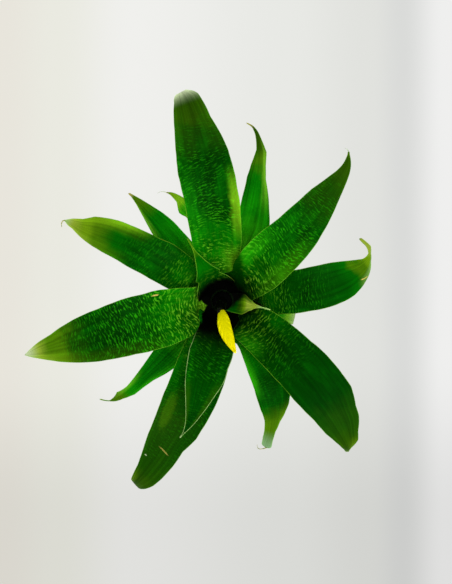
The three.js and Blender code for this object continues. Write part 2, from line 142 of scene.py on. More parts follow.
class Graph:
    """A node tree written as calls, each of which adds a node and gives back its output."""

    def __init__(self, tree: bpy.types.NodeTree) -> None:
        """Starts on a tree."""
        self.tree = tree

    def feed(self, socket: Socket, value: Value) -> None:
        """Links a socket, or sets its own value."""
        if isinstance(value, bpy.types.NodeSocket):
            self.tree.links.new(value, socket)
        else:
            socket.default_value = linear(value) if isinstance(value, Ink) else value

    def fill(self, node: bpy.types.Node, inputs: dict) -> None:
        """Feeds a node's sockets, by name or number."""
        for key, value in inputs.items():
            self.feed(node.inputs[key], value)

    def node(self, kind: str, inputs: dict | None = None, **settings: object) -> bpy.types.Node:
        """Adds a node.

        Args:
            kind: the node's type name.
            inputs: socket names or numbers, with what each is fed.
            settings: the node's own options.

        Returns:
            The node.
        """
        made = self.tree.nodes.new(kind)
        for name, value in settings.items():
            setattr(made, name, value)
        self.fill(made, inputs or {})
        return made

    def math(self, operation: str, *values: Value, clamp: bool = False) -> Socket:
        """Arithmetic on numbers."""
        fed = dict(enumerate(values))
        return self.node("ShaderNodeMath", fed, operation=operation, use_clamp=clamp).outputs[0]

    def times(self, *values: Value) -> Socket:
        """The product of two or more numbers."""
        return reduce(lambda a, b: self.math("MULTIPLY", a, b), values)

    def plus(self, *values: Value) -> Socket:
        """The sum of two or more numbers."""
        return reduce(lambda a, b: self.math("ADD", a, b), values)

    def minus(self, a: Value, b: Value) -> Socket:
        """One number less another."""
        return self.math("SUBTRACT", a, b)

    def over(self, a: Value, b: Value) -> Socket:
        """One number divided by another."""
        return self.math("DIVIDE", a, b)

    def line(self, value: Value, slope: Value, base: Value) -> Socket:
        """A number times a slope, and a base added."""
        return self.math("MULTIPLY_ADD", value, slope, base)

    def size(self, x: Value, y: Value) -> Socket:
        """The length of a flat vector."""
        return self.math("SQRT", self.plus(self.times(x, x), self.times(y, y)))

    def vector(self, operation: str, *values: Value) -> Socket:
        """Arithmetic on vectors."""
        fed = dict(enumerate(values))
        return self.node("ShaderNodeVectorMath", fed, operation=operation).outputs["Vector"]

    def scaled(self, vector: Value, factor: Value) -> Socket:
        """A vector times a number."""
        fed = {0: vector, "Scale": factor}
        return self.node("ShaderNodeVectorMath", fed, operation="SCALE").outputs["Vector"]

    def combine(self, x: Value, y: Value, z: Value = 0.0) -> Socket:
        """A vector from its parts."""
        return self.node("ShaderNodeCombineXYZ", {0: x, 1: y, 2: z}).outputs[0]

    def split(self, vector: Socket) -> tuple[Socket, Socket, Socket]:
        """The parts of a vector."""
        return tuple(self.node("ShaderNodeSeparateXYZ", {0: vector}).outputs)

    def spread(self, value: Value, low: Value, high: Value, start: Value = 0.0, end: Value = 1.0,
               smooth: bool = True) -> Socket:
        """A value carried from one range to another and held at its ends.

        Args:
            value: the number that is read.
            low: the value that gives start.
            high: the value that gives end.
            start: result at low.
            end: result at high.
            smooth: eased rather than straight.

        Returns:
            The carried number.
        """
        fed = {0: value, 1: low, 2: high, 3: start, 4: end}
        kind = "SMOOTHSTEP" if smooth else "LINEAR"
        return self.node("ShaderNodeMapRange", fed, interpolation_type=kind).outputs[0]

    def turned(self, vector: Value, angle: Value, axis: Value = (0.0, 0.0, 1.0)) -> Socket:
        """A vector turned about an axis, the plant's own if none is given."""
        fed = {"Vector": vector, "Angle": angle, "Axis": axis}
        return self.node("ShaderNodeVectorRotate", fed, rotation_type="AXIS_ANGLE").outputs[0]

    def mix(self, factor: Value, a: Value, b: Value) -> Socket:
        """One number or another by a factor."""
        return self.node("ShaderNodeMix", {0: factor, 2: a, 3: b}, data_type="FLOAT").outputs[0]

    def mix_vector(self, factor: Value, a: Value, b: Value) -> Socket:
        """One vector or another by a factor."""
        return self.node("ShaderNodeMix", {0: factor, 4: a, 5: b}, data_type="VECTOR").outputs[1]

    def blend(self, factor: Value, a: Value, b: Value) -> Socket:
        """One colour over another by a factor."""
        return self.node("ShaderNodeMix", {0: factor, 6: a, 7: b}, data_type="RGBA").outputs[2]

    def noise(self, place: Value, scale: Value, detail: float = 2.0, rough: float = 0.5) -> Socket:
        """Cloudy noise between 0 and 1.

        Args:
            place: where it is read.
            scale: how fine it is.
            detail: how many finer layers it has.
            rough: strength of the finer layers.

        Returns:
            The noise value.
        """
        fed = {"Vector": place, "Scale": scale, "Detail": detail, "Roughness": rough}
        return self.node("ShaderNodeTexNoise", fed, noise_dimensions="3D").outputs[0]

    def ramp(self, factor: Value, stops: Sequence[tuple[float, Ink | str]]) -> Socket:
        """Colours along a factor.

        Args:
            factor: the number that picks the colour.
            stops: places from 0 to 1, each with its colour.

        Returns:
            The colour.
        """
        made = self.node("ShaderNodeValToRGB", {0: factor})
        made.color_ramp.interpolation = "EASE"
        marks = made.color_ramp.elements
        while len(marks) < len(stops):
            marks.new(0.5)
        for mark, (place, colour) in zip(marks, stops):
            mark.position = place
            mark.color = linear(colour)
        return made.outputs[0]

    def attribute(self, name: str, output: str = "Fac") -> Socket:
        """A mesh attribute, read in a material."""
        made = self.node("ShaderNodeAttribute", attribute_type="GEOMETRY", attribute_name=name)
        return made.outputs[output]

    def object_place(self) -> Socket:
        """The place in the object's own space, read in a material."""
        return self.node("ShaderNodeTexCoord").outputs["Object"]

    def bump(self, height: Socket, strength: float, depth: float) -> Socket:
        """A normal bent by fine relief."""
        fed = {"Strength": strength, "Distance": depth, "Height": height}
        return self.node("ShaderNodeBump", fed).outputs[0]


class Recipe:
    """A Geometry Nodes tree with named inputs."""

    SOCKETS = {int: "NodeSocketInt", float: "NodeSocketFloat"}

    def __init__(self, name: str, sizes: dict[str, int | float]) -> None:
        """Makes the empty tree, which also has a material input, Finish.

        Args:
            name: the tree's name.
            sizes: the tree's numbers, each with its usual value.
        """
        self.tree = bpy.data.node_groups.new(name, "GeometryNodeTree")
        face = self.tree.interface
        face.new_socket("Geometry", in_out="INPUT", socket_type="NodeSocketGeometry")
        face.new_socket("Geometry", in_out="OUTPUT", socket_type="NodeSocketGeometry")
        for label, value in sizes.items():
            item = face.new_socket(label, in_out="INPUT", socket_type=self.SOCKETS[type(value)])
            item.default_value = value
        face.new_socket("Finish", in_out="INPUT", socket_type="NodeSocketMaterial")
        self.graph = Graph(self.tree)
        self.given = self.graph.node("NodeGroupInput").outputs

    def named(self, name: str, kind: str = "FLOAT") -> Socket:
        """An attribute of the incoming geometry."""
        made = self.graph.node("GeometryNodeInputNamedAttribute", {"Name": name}, data_type=kind)
        return made.outputs["Attribute"]

    def at_row(self, name: str, row: Socket, kind: str = "FLOAT") -> Socket:
        """An attribute of the incoming points, read at one of them.

        Args:
            name: the attribute's name.
            row: the point's number.
            kind: the attribute's data type.

        Returns:
            The value there.
        """
        fed = {"Geometry": self.given["Geometry"], "Value": self.named(name, kind), "Index": row}
        return self.graph.node("GeometryNodeSampleIndex", fed, data_type=kind).outputs[0]

    def store(self, mesh: Socket, name: str, value: Value, kind: str = "FLOAT",
              domain: str = "POINT") -> Socket:
        """Keeps a value on the mesh under a name.

        Args:
            mesh: the geometry.
            name: the attribute's name.
            value: what is kept.
            kind: its data type.
            domain: points, corners or instances.

        Returns:
            The geometry with the attribute.
        """
        fed = {"Geometry": mesh, "Name": name, "Value": value}
        made = self.graph.node("GeometryNodeStoreNamedAttribute", fed, data_type=kind, domain=domain)
        return made.outputs[0]

    def rolled_sheet(self, columns: Value, rows: Value) -> tuple[Socket, Socket, Socket, Socket]:
        """A grid whose columns go once round, so that its two long sides meet.

        Args:
            columns: how many faces go round.
            rows: how many points lie along.

        Returns:
            The grid, the turn round in radians, the row number and the share round from 0 to 1.
        """
        graph = self.graph
        around = graph.plus(columns, 1)
        fed = {"Size X": 1.0, "Size Y": 1.0, "Vertices X": around, "Vertices Y": rows}
        grid = graph.node("GeometryNodeMeshGrid", fed).outputs["Mesh"]
        index = graph.node("GeometryNodeInputIndex").outputs[0]
        row = graph.math("MODULO", index, rows)
        column = graph.math("FLOOR", graph.over(graph.plus(index, 0.5), rows))
        share = graph.over(column, columns)
        return grid, graph.times(share, math.tau), row, share

    def moved(self, mesh: Socket, place: Socket) -> Socket:
        """The mesh with its points at a place."""
        return self.graph.node("GeometryNodeSetPosition", {0: mesh, "Position": place}).outputs[0]

    def smooth(self, mesh: Socket) -> Socket:
        """The mesh, shaded smooth."""
        return self.graph.node("GeometryNodeSetShadeSmooth", {0: mesh}).outputs[0]

    def closed(self, mesh: Socket) -> Socket:
        """The mesh with its seams and poles joined, shaded smooth."""
        fed = {"Geometry": mesh, "Distance": MERGE_DISTANCE}
        return self.smooth(self.graph.node("GeometryNodeMergeByDistance", fed).outputs[0])

    def real(self, geometry: Socket) -> Socket:
        """The geometry with its instances made real."""
        return self.graph.node("GeometryNodeRealizeInstances", {0: geometry}).outputs[0]

    def joined(self, *parts: Socket) -> Socket:
        """Several geometries as one."""
        joint = self.graph.node("GeometryNodeJoinGeometry")
        for part in parts:
            self.graph.feed(joint.inputs[0], part)
        return joint.outputs[0]

    def path(self) -> Socket:
        """The incoming edges as curves."""
        return self.graph.node("GeometryNodeMeshToCurve", {0: self.given["Geometry"]}).outputs[0]

    def position(self) -> Socket:
        """Where each point lies."""
        return self.graph.node("GeometryNodeInputPosition").outputs[0]

    def way(self) -> Socket:
        """How far along its curve a point lies, from 0 to 1."""
        return self.graph.node("GeometryNodeSplineParameter").outputs["Factor"]

    def tapered(self) -> Socket:
        """How thick a curve is along its way, from 1 down by the tree's Taper."""
        graph = self.graph
        return graph.line(graph.times(self.way(), self.given["Taper"]), -1.0, 1.0)

    def tube(self, curve: Socket, radius: Value, sides: Value) -> Socket:
        """A closed tube about a curve, with a radius that may change along it."""
        graph = self.graph
        fed = {"Resolution": sides, "Radius": 1.0}
        ring = graph.node("GeometryNodeCurvePrimitiveCircle", fed).outputs[0]
        fed = {"Curve": curve, "Profile Curve": ring, "Scale": radius, "Fill Caps": True}
        return graph.node("GeometryNodeCurveToMesh", fed).outputs[0]

    def strewn(self, spots: bpy.types.Node, upright: Socket, thing: Socket,
               spins: tuple[tuple, tuple], least: float) -> Socket:
        """Copies of a thing on spots, each turned and sized by chance from the tree's Seed.

        Args:
            spots: the node that gives the spots.
            upright: how a copy stands before its chance turn.
            thing: what is copied.
            spins: the least and the most turn about X, Y and Z.
            least: the smallest size.

        Returns:
            The copies as instances.
        """
        graph, seed = self.graph, {"Seed": self.given["Seed"]}
        spin = graph.node("FunctionNodeRandomValue", {**seed, 0: spins[0], 1: spins[1]},
                          data_type="FLOAT_VECTOR").outputs[0]
        turn = graph.node("FunctionNodeEulerToRotation", {0: spin}).outputs[0]
        turned = graph.node("FunctionNodeRotateRotation", {"Rotation": upright, "Rotate By": turn},
                            rotation_space="LOCAL").outputs[0]
        size = graph.node("FunctionNodeRandomValue", {**seed, 2: least, 3: 1.0},
                          data_type="FLOAT").outputs[1]
        fed = {"Points": spots.outputs["Points"], "Instance": thing, "Rotation": turned, "Scale": size}
        return graph.node("GeometryNodeInstanceOnPoints", fed).outputs[0]

    def finish(self, mesh: Socket) -> None:
        """Ends the tree: instances made real, the material set, and the result put out."""
        fed = {"Geometry": self.real(mesh), "Material": self.given["Finish"]}
        dressed = self.graph.node("GeometryNodeSetMaterial", fed).outputs[0]
        self.graph.node("NodeGroupOutput", {0: dressed})

    def run(self, source: bpy.types.ID, name: str, values: dict[str, object]) -> bpy.types.Mesh:
        """Runs the tree on a mesh or a curve and keeps the result as a plain mesh.

        Args:
            source: the mesh or curve that the tree is given.
            name: the result's name.
            values: input names with the values that differ from the usual ones.

        Returns:
            The result.
        """
        holder = bpy.data.objects.new(name + "_source", source)
        bpy.context.scene.collection.objects.link(holder)
        step = holder.modifiers.new(self.tree.name, "NODES")
        step.node_group = self.tree
        for item in self.tree.interface.items_tree:
            if item.in_out == "INPUT" and item.name in values:
                step[item.identifier] = values[item.name]
        bpy.context.view_layer.update()
        seen = holder.evaluated_get(bpy.context.evaluated_depsgraph_get())
        mesh = bpy.data.meshes.new_from_object(seen)
        mesh.name = name
        mesh.materials.clear()
        mesh.materials.append(values["Finish"])
        mesh.polygons.foreach_set("material_index", np.zeros(len(mesh.polygons), np.int32))
        holder.modifiers.remove(step)
        bpy.data.objects.remove(holder)
        return mesh


def point_cloud(name: str, positions: np.ndarray, attributes: dict[str, np.ndarray]) -> bpy.types.Mesh:
    """A mesh of bare points with values on them.

    Args:
        name: the mesh's name.
        positions: the points, one to a row.
        attributes: names with one number or one vector for each point.

    Returns:
        The mesh.
    """
    mesh = bpy.data.meshes.new(name)
    mesh.vertices.add(len(positions))
    mesh.vertices.foreach_set("co", positions.astype(np.float32).ravel())
    for label, values in attributes.items():
        flat = values.ndim == 1
        kept = mesh.attributes.new(label, "FLOAT" if flat else "FLOAT_VECTOR", "POINT")
        kept.data.foreach_set("value" if flat else "vector", values.astype(np.float32).ravel())
    return mesh


def smooth_path(knots: Sequence[Sequence[float]], count: int) -> np.ndarray:
    """A centripetal Catmull-Rom curve through knots.

    Args:
        knots: the points that it passes.
        count: points that the result has in each span.

    Returns:
        Points along the curve.
    """
    given = np.array(knots, float)
    ends = (2 * given[0] - given[1], 2 * given[-1] - given[-2])
    line = np.vstack([ends[0], given, ends[1]])
    path = []
    for i in range(len(given) - 1):
        four = line[i : i + 4]
        gaps = np.linalg.norm(np.diff(four, axis=0), axis=1) ** 0.5
        t = np.concatenate([[0], np.cumsum(gaps)])
        for s in np.linspace(t[1], t[2], count, endpoint=False):
            low = [four[k] * (t[k + 1] - s) + four[k + 1] * (s - t[k]) for k in range(3)]
            low = [low[k] / (t[k + 1] - t[k]) for k in range(3)]
            mid = [low[k] * (t[k + 2] - s) + low[k + 1] * (s - t[k]) for k in range(2)]
            mid = [mid[k] / (t[k + 2] - t[k]) for k in range(2)]
            path.append((mid[0] * (t[2] - s) + mid[1] * (s - t[1])) / (t[2] - t[1]))
    path.append(given[-1])
    return np.array(path)


def direction(slope: np.ndarray | float, heading: np.ndarray | float) -> np.ndarray:
    """Directions of length 1.

    Args:
        slope: angles above the horizontal, in radians.
        heading: angles seen from above, in radians.

    Returns:
        One direction to a row.
    """
    level = np.cos(slope)
    parts = (level * np.cos(heading), level * np.sin(heading), np.sin(slope))
    return np.stack(np.broadcast_arrays(*parts), axis=-1)


def put_out(mesh: bpy.types.Mesh, name: str, node: str) -> bpy.types.Object:
    """Makes a finished piece that stands for a node of the frame.

    Args:
        mesh: the piece's mesh, in place.
        name: the piece's name.
        node: the node that it stands for.

    Returns:
        The piece.
    """
    piece = bpy.data.objects.new(name, mesh)
    bpy.context.scene.collection.objects.link(piece)
    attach(piece, BODY)
    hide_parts(node)
    log.info("%s: %d faces", name, len(mesh.polygons))
    return piece


def join_meshes(mesh: bpy.types.Mesh, added: bpy.types.Mesh) -> None:
    """Adds the faces of one mesh to another, with the added mesh's own material.

    Args:
        mesh: the mesh that grows.
        added: the mesh that is added to it and then removed.
    """
    both = bmesh.new()
    both.from_mesh(mesh)
    first = len(both.faces)
    both.from_mesh(added)
    both.faces.ensure_lookup_table()
    for face in both.faces[first:]:
        face.material_index = len(mesh.materials)
    both.to_mesh(mesh)
    both.free()
    mesh.materials.append(added.materials[0])
    bpy.data.meshes.remove(added)


def new_material(name: str) -> tuple[bpy.types.Material, Graph, bpy.types.Node]:
    """An empty material with one shader.

    Args:
        name: the material's name.

    Returns:
        The material, its graph and its Principled shader.
    """
    material = bpy.data.materials.new(name)
    material.use_nodes = True
    material.node_tree.nodes.clear()
    graph = Graph(material.node_tree)
    shader = graph.node("ShaderNodeBsdfPrincipled")
    graph.node("ShaderNodeOutputMaterial", {"Surface": shader.outputs[0]})
    return material, graph, shader


@dataclass(frozen=True)
class Band:
    """A stripe of another colour along one margin.

    side is 1 for the left margin, looking outwards, and -1 for the right. start and end are shares
    of the blade, and width is a share of the half-width.
    """

    side: int
    start: float
    end: float
    width: float = 0.3
    ink: Ink = Ink.GOLD_GREEN
    strength: float = 0.8
    fade: float = 0.1


@dataclass(frozen=True)
class Mark:
    """A small blemish, or a painted glint: its middle across and along the blade, its half-sizes
    and its colour.

    slant is how far it drifts along the blade over one half-width.
    """

    across: float
    along: float
    wide: float
    long: float
    ink: Ink = Ink.TAN
    strength: float = 0.85
    slant: float = 0.0


@dataclass(frozen=True)
class Shadow:
    """Painted shade of the cup.

    It ends at reach, further out by margins at both margins and by left at the left one.
    """

    reach: float = -4 * MM
    fade: float = 6 * MM
    margins: float = 0.0
    left: float = 0.0
    ink: Ink = Ink.CUP_SHADE_BLACK
    strength: float = 1.0


@dataclass(frozen=True)
class LeafFinish:
    """How one leaf is coloured.

    ground lists the main colours by share of the blade. The hatching is brightest at hatch_from and
    gone at hatch_to. glow and tip_glow are painted light: the leaf gives off its own colour where it
    stands in the cup and at its tip.
    """

    ground: tuple[tuple[float, Ink], ...]
    tip: Ink = Ink.WARM_OLIVE
    tip_from: float = 0.95
    tip_to: float = 1.0
    hatch: Ink = Ink.LIME
    hatch_outer: Ink = Ink.VIVID
    hatch_strength: float = 0.75
    hatch_from: float = 0.0
    hatch_to: float = 0.8
    hatch_least: float = 0.12
    stray: float = 0.1
    cloud: Ink = Ink.FRESH
    cloud_strength: float = 0.5
    # painted shade: how much darker the middle of the leaf is, for the shade in its channel
    trough_shade: float = 0.25
    streaks: float = 0.1
    margin: Ink = Ink.LIME
    margin_strength: float = 0.45
    glow: float = 0.0
    tip_glow: float = 0.0
    shadows: tuple[Shadow, ...] = (Shadow(),)
    bands: tuple[Band, ...] = ()
    marks: tuple[Mark, ...] = ()

    ROUGHNESS = 0.4
    SPECULAR = 0.006
    BUMP = 0.35
    BUMP_DEPTH = 0.4 * MM
    PITCH = 2.3
    RIB_GRAIN = (1.3, 0.03)
    RIB_HEIGHT = 0.5
    STROKE_HEIGHT = 0.3
    CUP_SPAN = (-2.0, 6.0)
    GLOW_BEYOND = 0.1
    SEED_STEP = 40.0

    def dress(self, name: str, blade: float, seed: float) -> bpy.types.Material:
        """Makes the material.

        Args:
            name: the material's name.
            blade: the blade's length, sheath not counted.
            seed: a number that makes the leaf's pattern its own.

        Returns:
            The material.
        """
        material, graph, shader = new_material(name)
        measured = graph.scaled(graph.attribute("leaf_place", "Vector"), 1 / MM)
        offset, along, reach = graph.split(measured)
        leaf = LeafPattern(
            graph,
            place=graph.combine(offset, reach, self.SEED_STEP * seed),
            across=graph.attribute("across"),
            share=graph.over(along, blade / MM),
            offset=offset,
            reach=reach,
            seed=seed,
        )
        strokes = leaf.strokes(self.PITCH)
        colour = leaf.ground(self)
        for band in self.bands:
            colour = leaf.banded(colour, band)
        colour = leaf.hatched(colour, strokes, self)
        colour = leaf.veined(colour, self.streaks)
        colour = leaf.rimmed(colour, self.margin, self.margin_strength)
        for shadow in self.shadows:
            colour = leaf.darkened(colour, shadow)
        for mark in self.marks:
            colour = leaf.blemish_and_glint(colour, mark)
        upper = graph.attribute("upper_face")
        ribs = leaf.stretched(*self.RIB_GRAIN)
        relief = graph.line(ribs, self.RIB_HEIGHT, graph.times(strokes, self.STROKE_HEIGHT))
        graph.fill(shader, {
            "Base Color": graph.blend(upper, leaf.underside(colour), colour),
            "Normal": graph.bump(relief, self.BUMP, self.BUMP_DEPTH),
            "Roughness": self.ROUGHNESS,
            "Specular IOR Level": self.SPECULAR,
        })
        # Painted light: the leaf gives off its own colour in the cup and at its tip.
        if self.glow or self.tip_glow:
            in_cup = graph.spread(reach, *self.CUP_SPAN, self.glow, self.GLOW_BEYOND * self.glow)
            at_tip = graph.spread(leaf.share, self.tip_from, self.tip_to, 0.0, self.tip_glow)
            painted_glow = graph.scaled(colour, graph.plus(in_cup, at_tip))
            graph.fill(shader, {"Emission Color": painted_glow, "Emission Strength": 1.0})
        return material


@dataclass
class LeafPattern:
    """The parts of a leaf's colouring, read from the place on the leaf in millimetres.

    A noise's scale is how many of its clouds there are to a millimetre, and a span of its value is
    what a part of the pattern starts and ends at.
    """

    graph: Graph
    place: Socket
    across: Socket
    share: Socket
    offset: Socket
    reach: Socket
    seed: float

    ROUGH = 0.6
    STROKE_SLANT = 0.25
    SLOW_SWAY = 6.0
    QUICK_SWAY = 2.6
    STROKE_LENGTH = 0.2
    STROKE_CHANCE = 5.0
    STROKE_EDGE = 0.8
    GAP_SHADE = 0.7
    OUTER_HATCH = (0.05, 0.4)
    CLOUD_GRAIN = (0.085, 0.035)
    CLOUDS_END = (0.95, 0.4)
    VEINS = 7.0
    VEIN_DRIFT = 0.012
    BAND_RAGGED = 0.3
    RIM = (0.1 * MM, 0.55 * MM)
    MARK_RAGGED = 0.9
    SHADOW_RAGGED = 3.0
    SCURF = 0.35
    UNDERSIDE_COVER = 0.55

    def clouds(self, scale: float, detail: float = 2.0, shift: float = 0.0) -> Socket:
        """Noise over the leaf, the same for a scale and a shift."""
        moved = self.graph.vector("ADD", self.place, (shift, shift, 0.0))
        return self.graph.noise(moved, scale, detail, self.ROUGH)

    def stretched(self, over: float, down: float, detail: float = 1.0, shift: float = 0.0) -> Socket:
        """Noise whose grain differs across the leaf and along it."""
        graph = self.graph
        scaled = graph.vector("MULTIPLY", self.place, (over, down, 1.0))
        return graph.noise(graph.vector("ADD", scaled, (shift, 0.0, 0.0)), 1.0, detail, self.ROUGH)

    def ragged(self, scale: float, height: float, shift: float = 0.0) -> Socket:
        """Noise about 0, up and down by half a height."""
        return self.graph.line(self.clouds(scale, 2.0, shift), height, -height / 2)

    def strokes(self, pitch: float) -> Socket:
        """Short wavy strokes across the leaf, where its cells let the light through.

        Args:
            pitch: distance between strokes, in millimetres.

        Returns:
            How light the leaf is there, from 0 to 1.
        """
        graph = self.graph
        lean = graph.spread(self.clouds(0.02, 0.0), 0.3, 0.7, -self.STROKE_SLANT, self.STROKE_SLANT)
        slow = graph.line(self.stretched(0.05, 0.03), self.SLOW_SWAY, graph.times(self.offset, lean))
        quick = graph.times(self.stretched(0.25, 0.2, shift=5.0), self.QUICK_SWAY)
        bent = graph.plus(self.reach, graph.plus(slow, quick))
        even = graph.math("SINE", graph.times(bent, math.tau / pitch))
        spot = graph.combine(graph.times(self.offset, self.STROKE_LENGTH), graph.times(bent, 0.8),
                             self.seed + 3.0)
        chance = graph.line(graph.noise(spot, 1.0, 1.0), self.STROKE_CHANCE, -self.STROKE_CHANCE / 2)
        line = graph.spread(graph.line(even, 0.25, chance), 0.0, self.STROKE_EDGE)
        grain = graph.spread(self.clouds(0.35, 2.0, 11.0), 0.34, 0.6, 0.35, 1.0)
        return graph.times(line, grain)

    def ground(self, finish: LeafFinish) -> Socket:
        """The leaf's main colours with soft clouds, and painted shade along its middle.

        Args:
            finish: the leaf's finish.

        Returns:
            The colour.
        """
        graph = self.graph
        place = graph.plus(self.share, self.ragged(0.05, 2.0 * finish.stray))
        low = finish.ground[0][0]
        reach = finish.ground[-1][0] - low
        stops = [((at - low) / reach, ink) for at, ink in finish.ground]
        colour = graph.ramp(graph.over(graph.minus(place, low), reach), stops)
        cloud = graph.spread(self.stretched(*self.CLOUD_GRAIN, 3.0, 7.0), 0.46, 0.68)
        cloud = graph.times(cloud, graph.spread(self.share, *self.CLOUDS_END))
        colour = graph.blend(graph.times(cloud, finish.cloud_strength), colour, finish.cloud)
        tip = graph.spread(self.share, finish.tip_from, finish.tip_to)
        colour = graph.blend(tip, colour, finish.tip)
        square = graph.times(self.across, self.across)
        return graph.scaled(colour, graph.line(square, finish.trough_shade, 1.0 - finish.trough_shade))

    def hatched(self, colour: Socket, strokes: Socket, finish: LeafFinish) -> Socket:
        """Lights the strokes and darkens the leaf between them.

        Args:
            colour: the colour so far.
            strokes: how light the leaf is, from 0 to 1.
            finish: the leaf's finish.

        Returns:
            The hatched colour.
        """
        graph = self.graph
        fade = graph.spread(self.share, finish.hatch_from, finish.hatch_to, 1.0, 0.0, smooth=False)
        patches = graph.spread(self.clouds(0.055, 3.0), 0.34, 0.6, finish.hatch_least, 1.0)
        fade = graph.times(fade, patches)
        gaps = graph.times(graph.minus(strokes, 1.0), fade)
        colour = graph.scaled(colour, graph.line(gaps, finish.hatch_strength * self.GAP_SHADE, 1.0))
        lit = graph.blend(graph.spread(self.share, *self.OUTER_HATCH), finish.hatch, finish.hatch_outer)
        return graph.blend(graph.times(strokes, fade, finish.hatch_strength), colour, lit)

    def veined(self, colour: Socket, strength: float) -> Socket:
        """Lays faint streaks that run along the leaf and meet at its tip.

        Args:
            colour: the colour so far.
            strength: how much the streaks change it.

        Returns:
            The streaked colour.
        """
        graph = self.graph
        across, along = graph.times(self.across, self.VEINS), graph.times(self.reach, self.VEIN_DRIFT)
        lines = graph.noise(graph.combine(across, along, self.seed), 1.0, 3.0, 0.65)
        change = graph.spread(lines, 0.3, 0.7, 1.0 - 2.0 * strength, 1.0 + 2.5 * strength)
        return graph.scaled(colour, change)

    def banded(self, colour: Socket, band: Band) -> Socket:
        """Lays a stripe along one margin.

        Args:
            colour: the colour so far.
            band: the stripe.

        Returns:
            The colour with the stripe.
        """
        graph = self.graph
        side = graph.plus(graph.times(self.across, band.side), self.ragged(0.1, self.BAND_RAGGED, 3.0))
        near = graph.spread(side, 1.0 - band.width * 1.6, 1.0 - band.width * 0.3)
        begins = graph.spread(self.share, band.start - band.fade, band.start + band.fade)
        ends = graph.spread(self.share, band.end - band.fade, band.end + band.fade, 1.0, 0.0)
        return graph.blend(graph.times(near, begins, ends, band.strength), colour, band.ink)

    def rimmed(self, colour: Socket, ink: Ink, strength: float) -> Socket:
        """Draws the thin light margin, reddish here and there.

        Args:
            colour: the colour so far.
            ink: the margin's colour.
            strength: how much of it shows.

        Returns:
            The colour with its margin.
        """
        graph = self.graph
        line = graph.spread(graph.attribute("edge_distance"), *self.RIM, 1.0, 0.0)
        breaks = self.stretched(0.0, 0.09, 2.0)
        amount = graph.times(line, graph.spread(breaks, 0.3, 0.6, 0.35, 1.0), strength)
        rim = graph.blend(graph.spread(breaks, 0.58, 0.68, 0.0, 0.7), ink, Ink.TAN)
        return graph.blend(amount, colour, rim)

    def blemish_and_glint(self, colour: Socket, mark: Mark) -> Socket:
        """Adds one small mark.

        Args:
            colour: the colour so far.
            mark: the blemish or painted glint.

        Returns:
            The colour with the mark.
        """
        graph = self.graph
        aside = graph.over(graph.minus(self.across, mark.across), mark.wide)
        middle = graph.line(aside, mark.slant * mark.wide, mark.along)
        ahead = graph.over(graph.minus(self.share, middle), mark.long)
        far = graph.plus(graph.size(aside, ahead), self.ragged(0.5, self.MARK_RAGGED))
        return graph.blend(graph.spread(far, 0.6, 1.15, mark.strength, 0.0), colour, mark.ink)

    def darkened(self, colour: Socket, shadow: Shadow) -> Socket:
        """Paints the cup's shade onto the leaf.

        Args:
            colour: the colour so far.
            shadow: the shadow.

        Returns:
            The colour with the dark.
        """
        graph = self.graph
        margins = graph.times(graph.math("ABSOLUTE", self.across), shadow.margins / MM)
        ends = graph.plus(margins, graph.line(self.across, shadow.left / MM, shadow.reach / MM))
        out = graph.minus(graph.plus(self.reach, self.ragged(0.15, self.SHADOW_RAGGED)), ends)
        deep = graph.spread(out, -shadow.fade / MM, 0.0, shadow.strength, 0.0)
        return graph.blend(deep, colour, shadow.ink)

    def underside(self, colour: Socket) -> Socket:
        """The paler lower face, dusted with grey scurf."""
        graph = self.graph
        scurf = graph.spread(self.clouds(1.6), 0.5, 0.7, 0.0, self.SCURF)
        under = graph.blend(scurf, Ink.UNDERSIDE, Ink.SILVER)
        return graph.blend(1.0 - self.UNDERSIDE_COVER, under, colour)


@dataclass(frozen=True)
class Nest:
    """How the leaves' sheaths nest round the stem, one outside another."""

    pitch: float = 1.35 * MM
    start_radius: float = 9.9 * MM
    start_height: float = 46 * MM
    rise_at_stem: float = 30.0
    rise_at_wall: float = 80.0
    turn_length: float = 15 * MM
    wall_length: float = 49 * MM
    wall_loss: float = 3.1 * MM
    root_half_width: float = 10 * MM
    belly_at: float = 0.45
    neck_length: float = 45 * MM


@dataclass(frozen=True)
class DryFinish:
    """Dead leaf tissue, brown to straw, streaked."""

    dark: Ink = Ink.WARM_OLIVE
    light: Ink = Ink.STRAW
    grain: float = 900.0
    relief: float = 0.2 * MM
    roughness: float = 0.8

    def dress(self, name: str) -> bpy.types.Material:
        """Makes the material.

        Args:
            name: the material's name.

        Returns:
            The material.
        """
        material, graph, shader = new_material(name)
        streaks = graph.noise(graph.object_place(), self.grain, 2.0)
        graph.fill(shader, {
            "Base Color": graph.blend(graph.spread(streaks, 0.35, 0.65), self.dark, self.light),
            "Normal": graph.bump(streaks, 0.4, self.relief),
            "Roughness": self.roughness,
            "Specular IOR Level": DULL,
        })
        return material


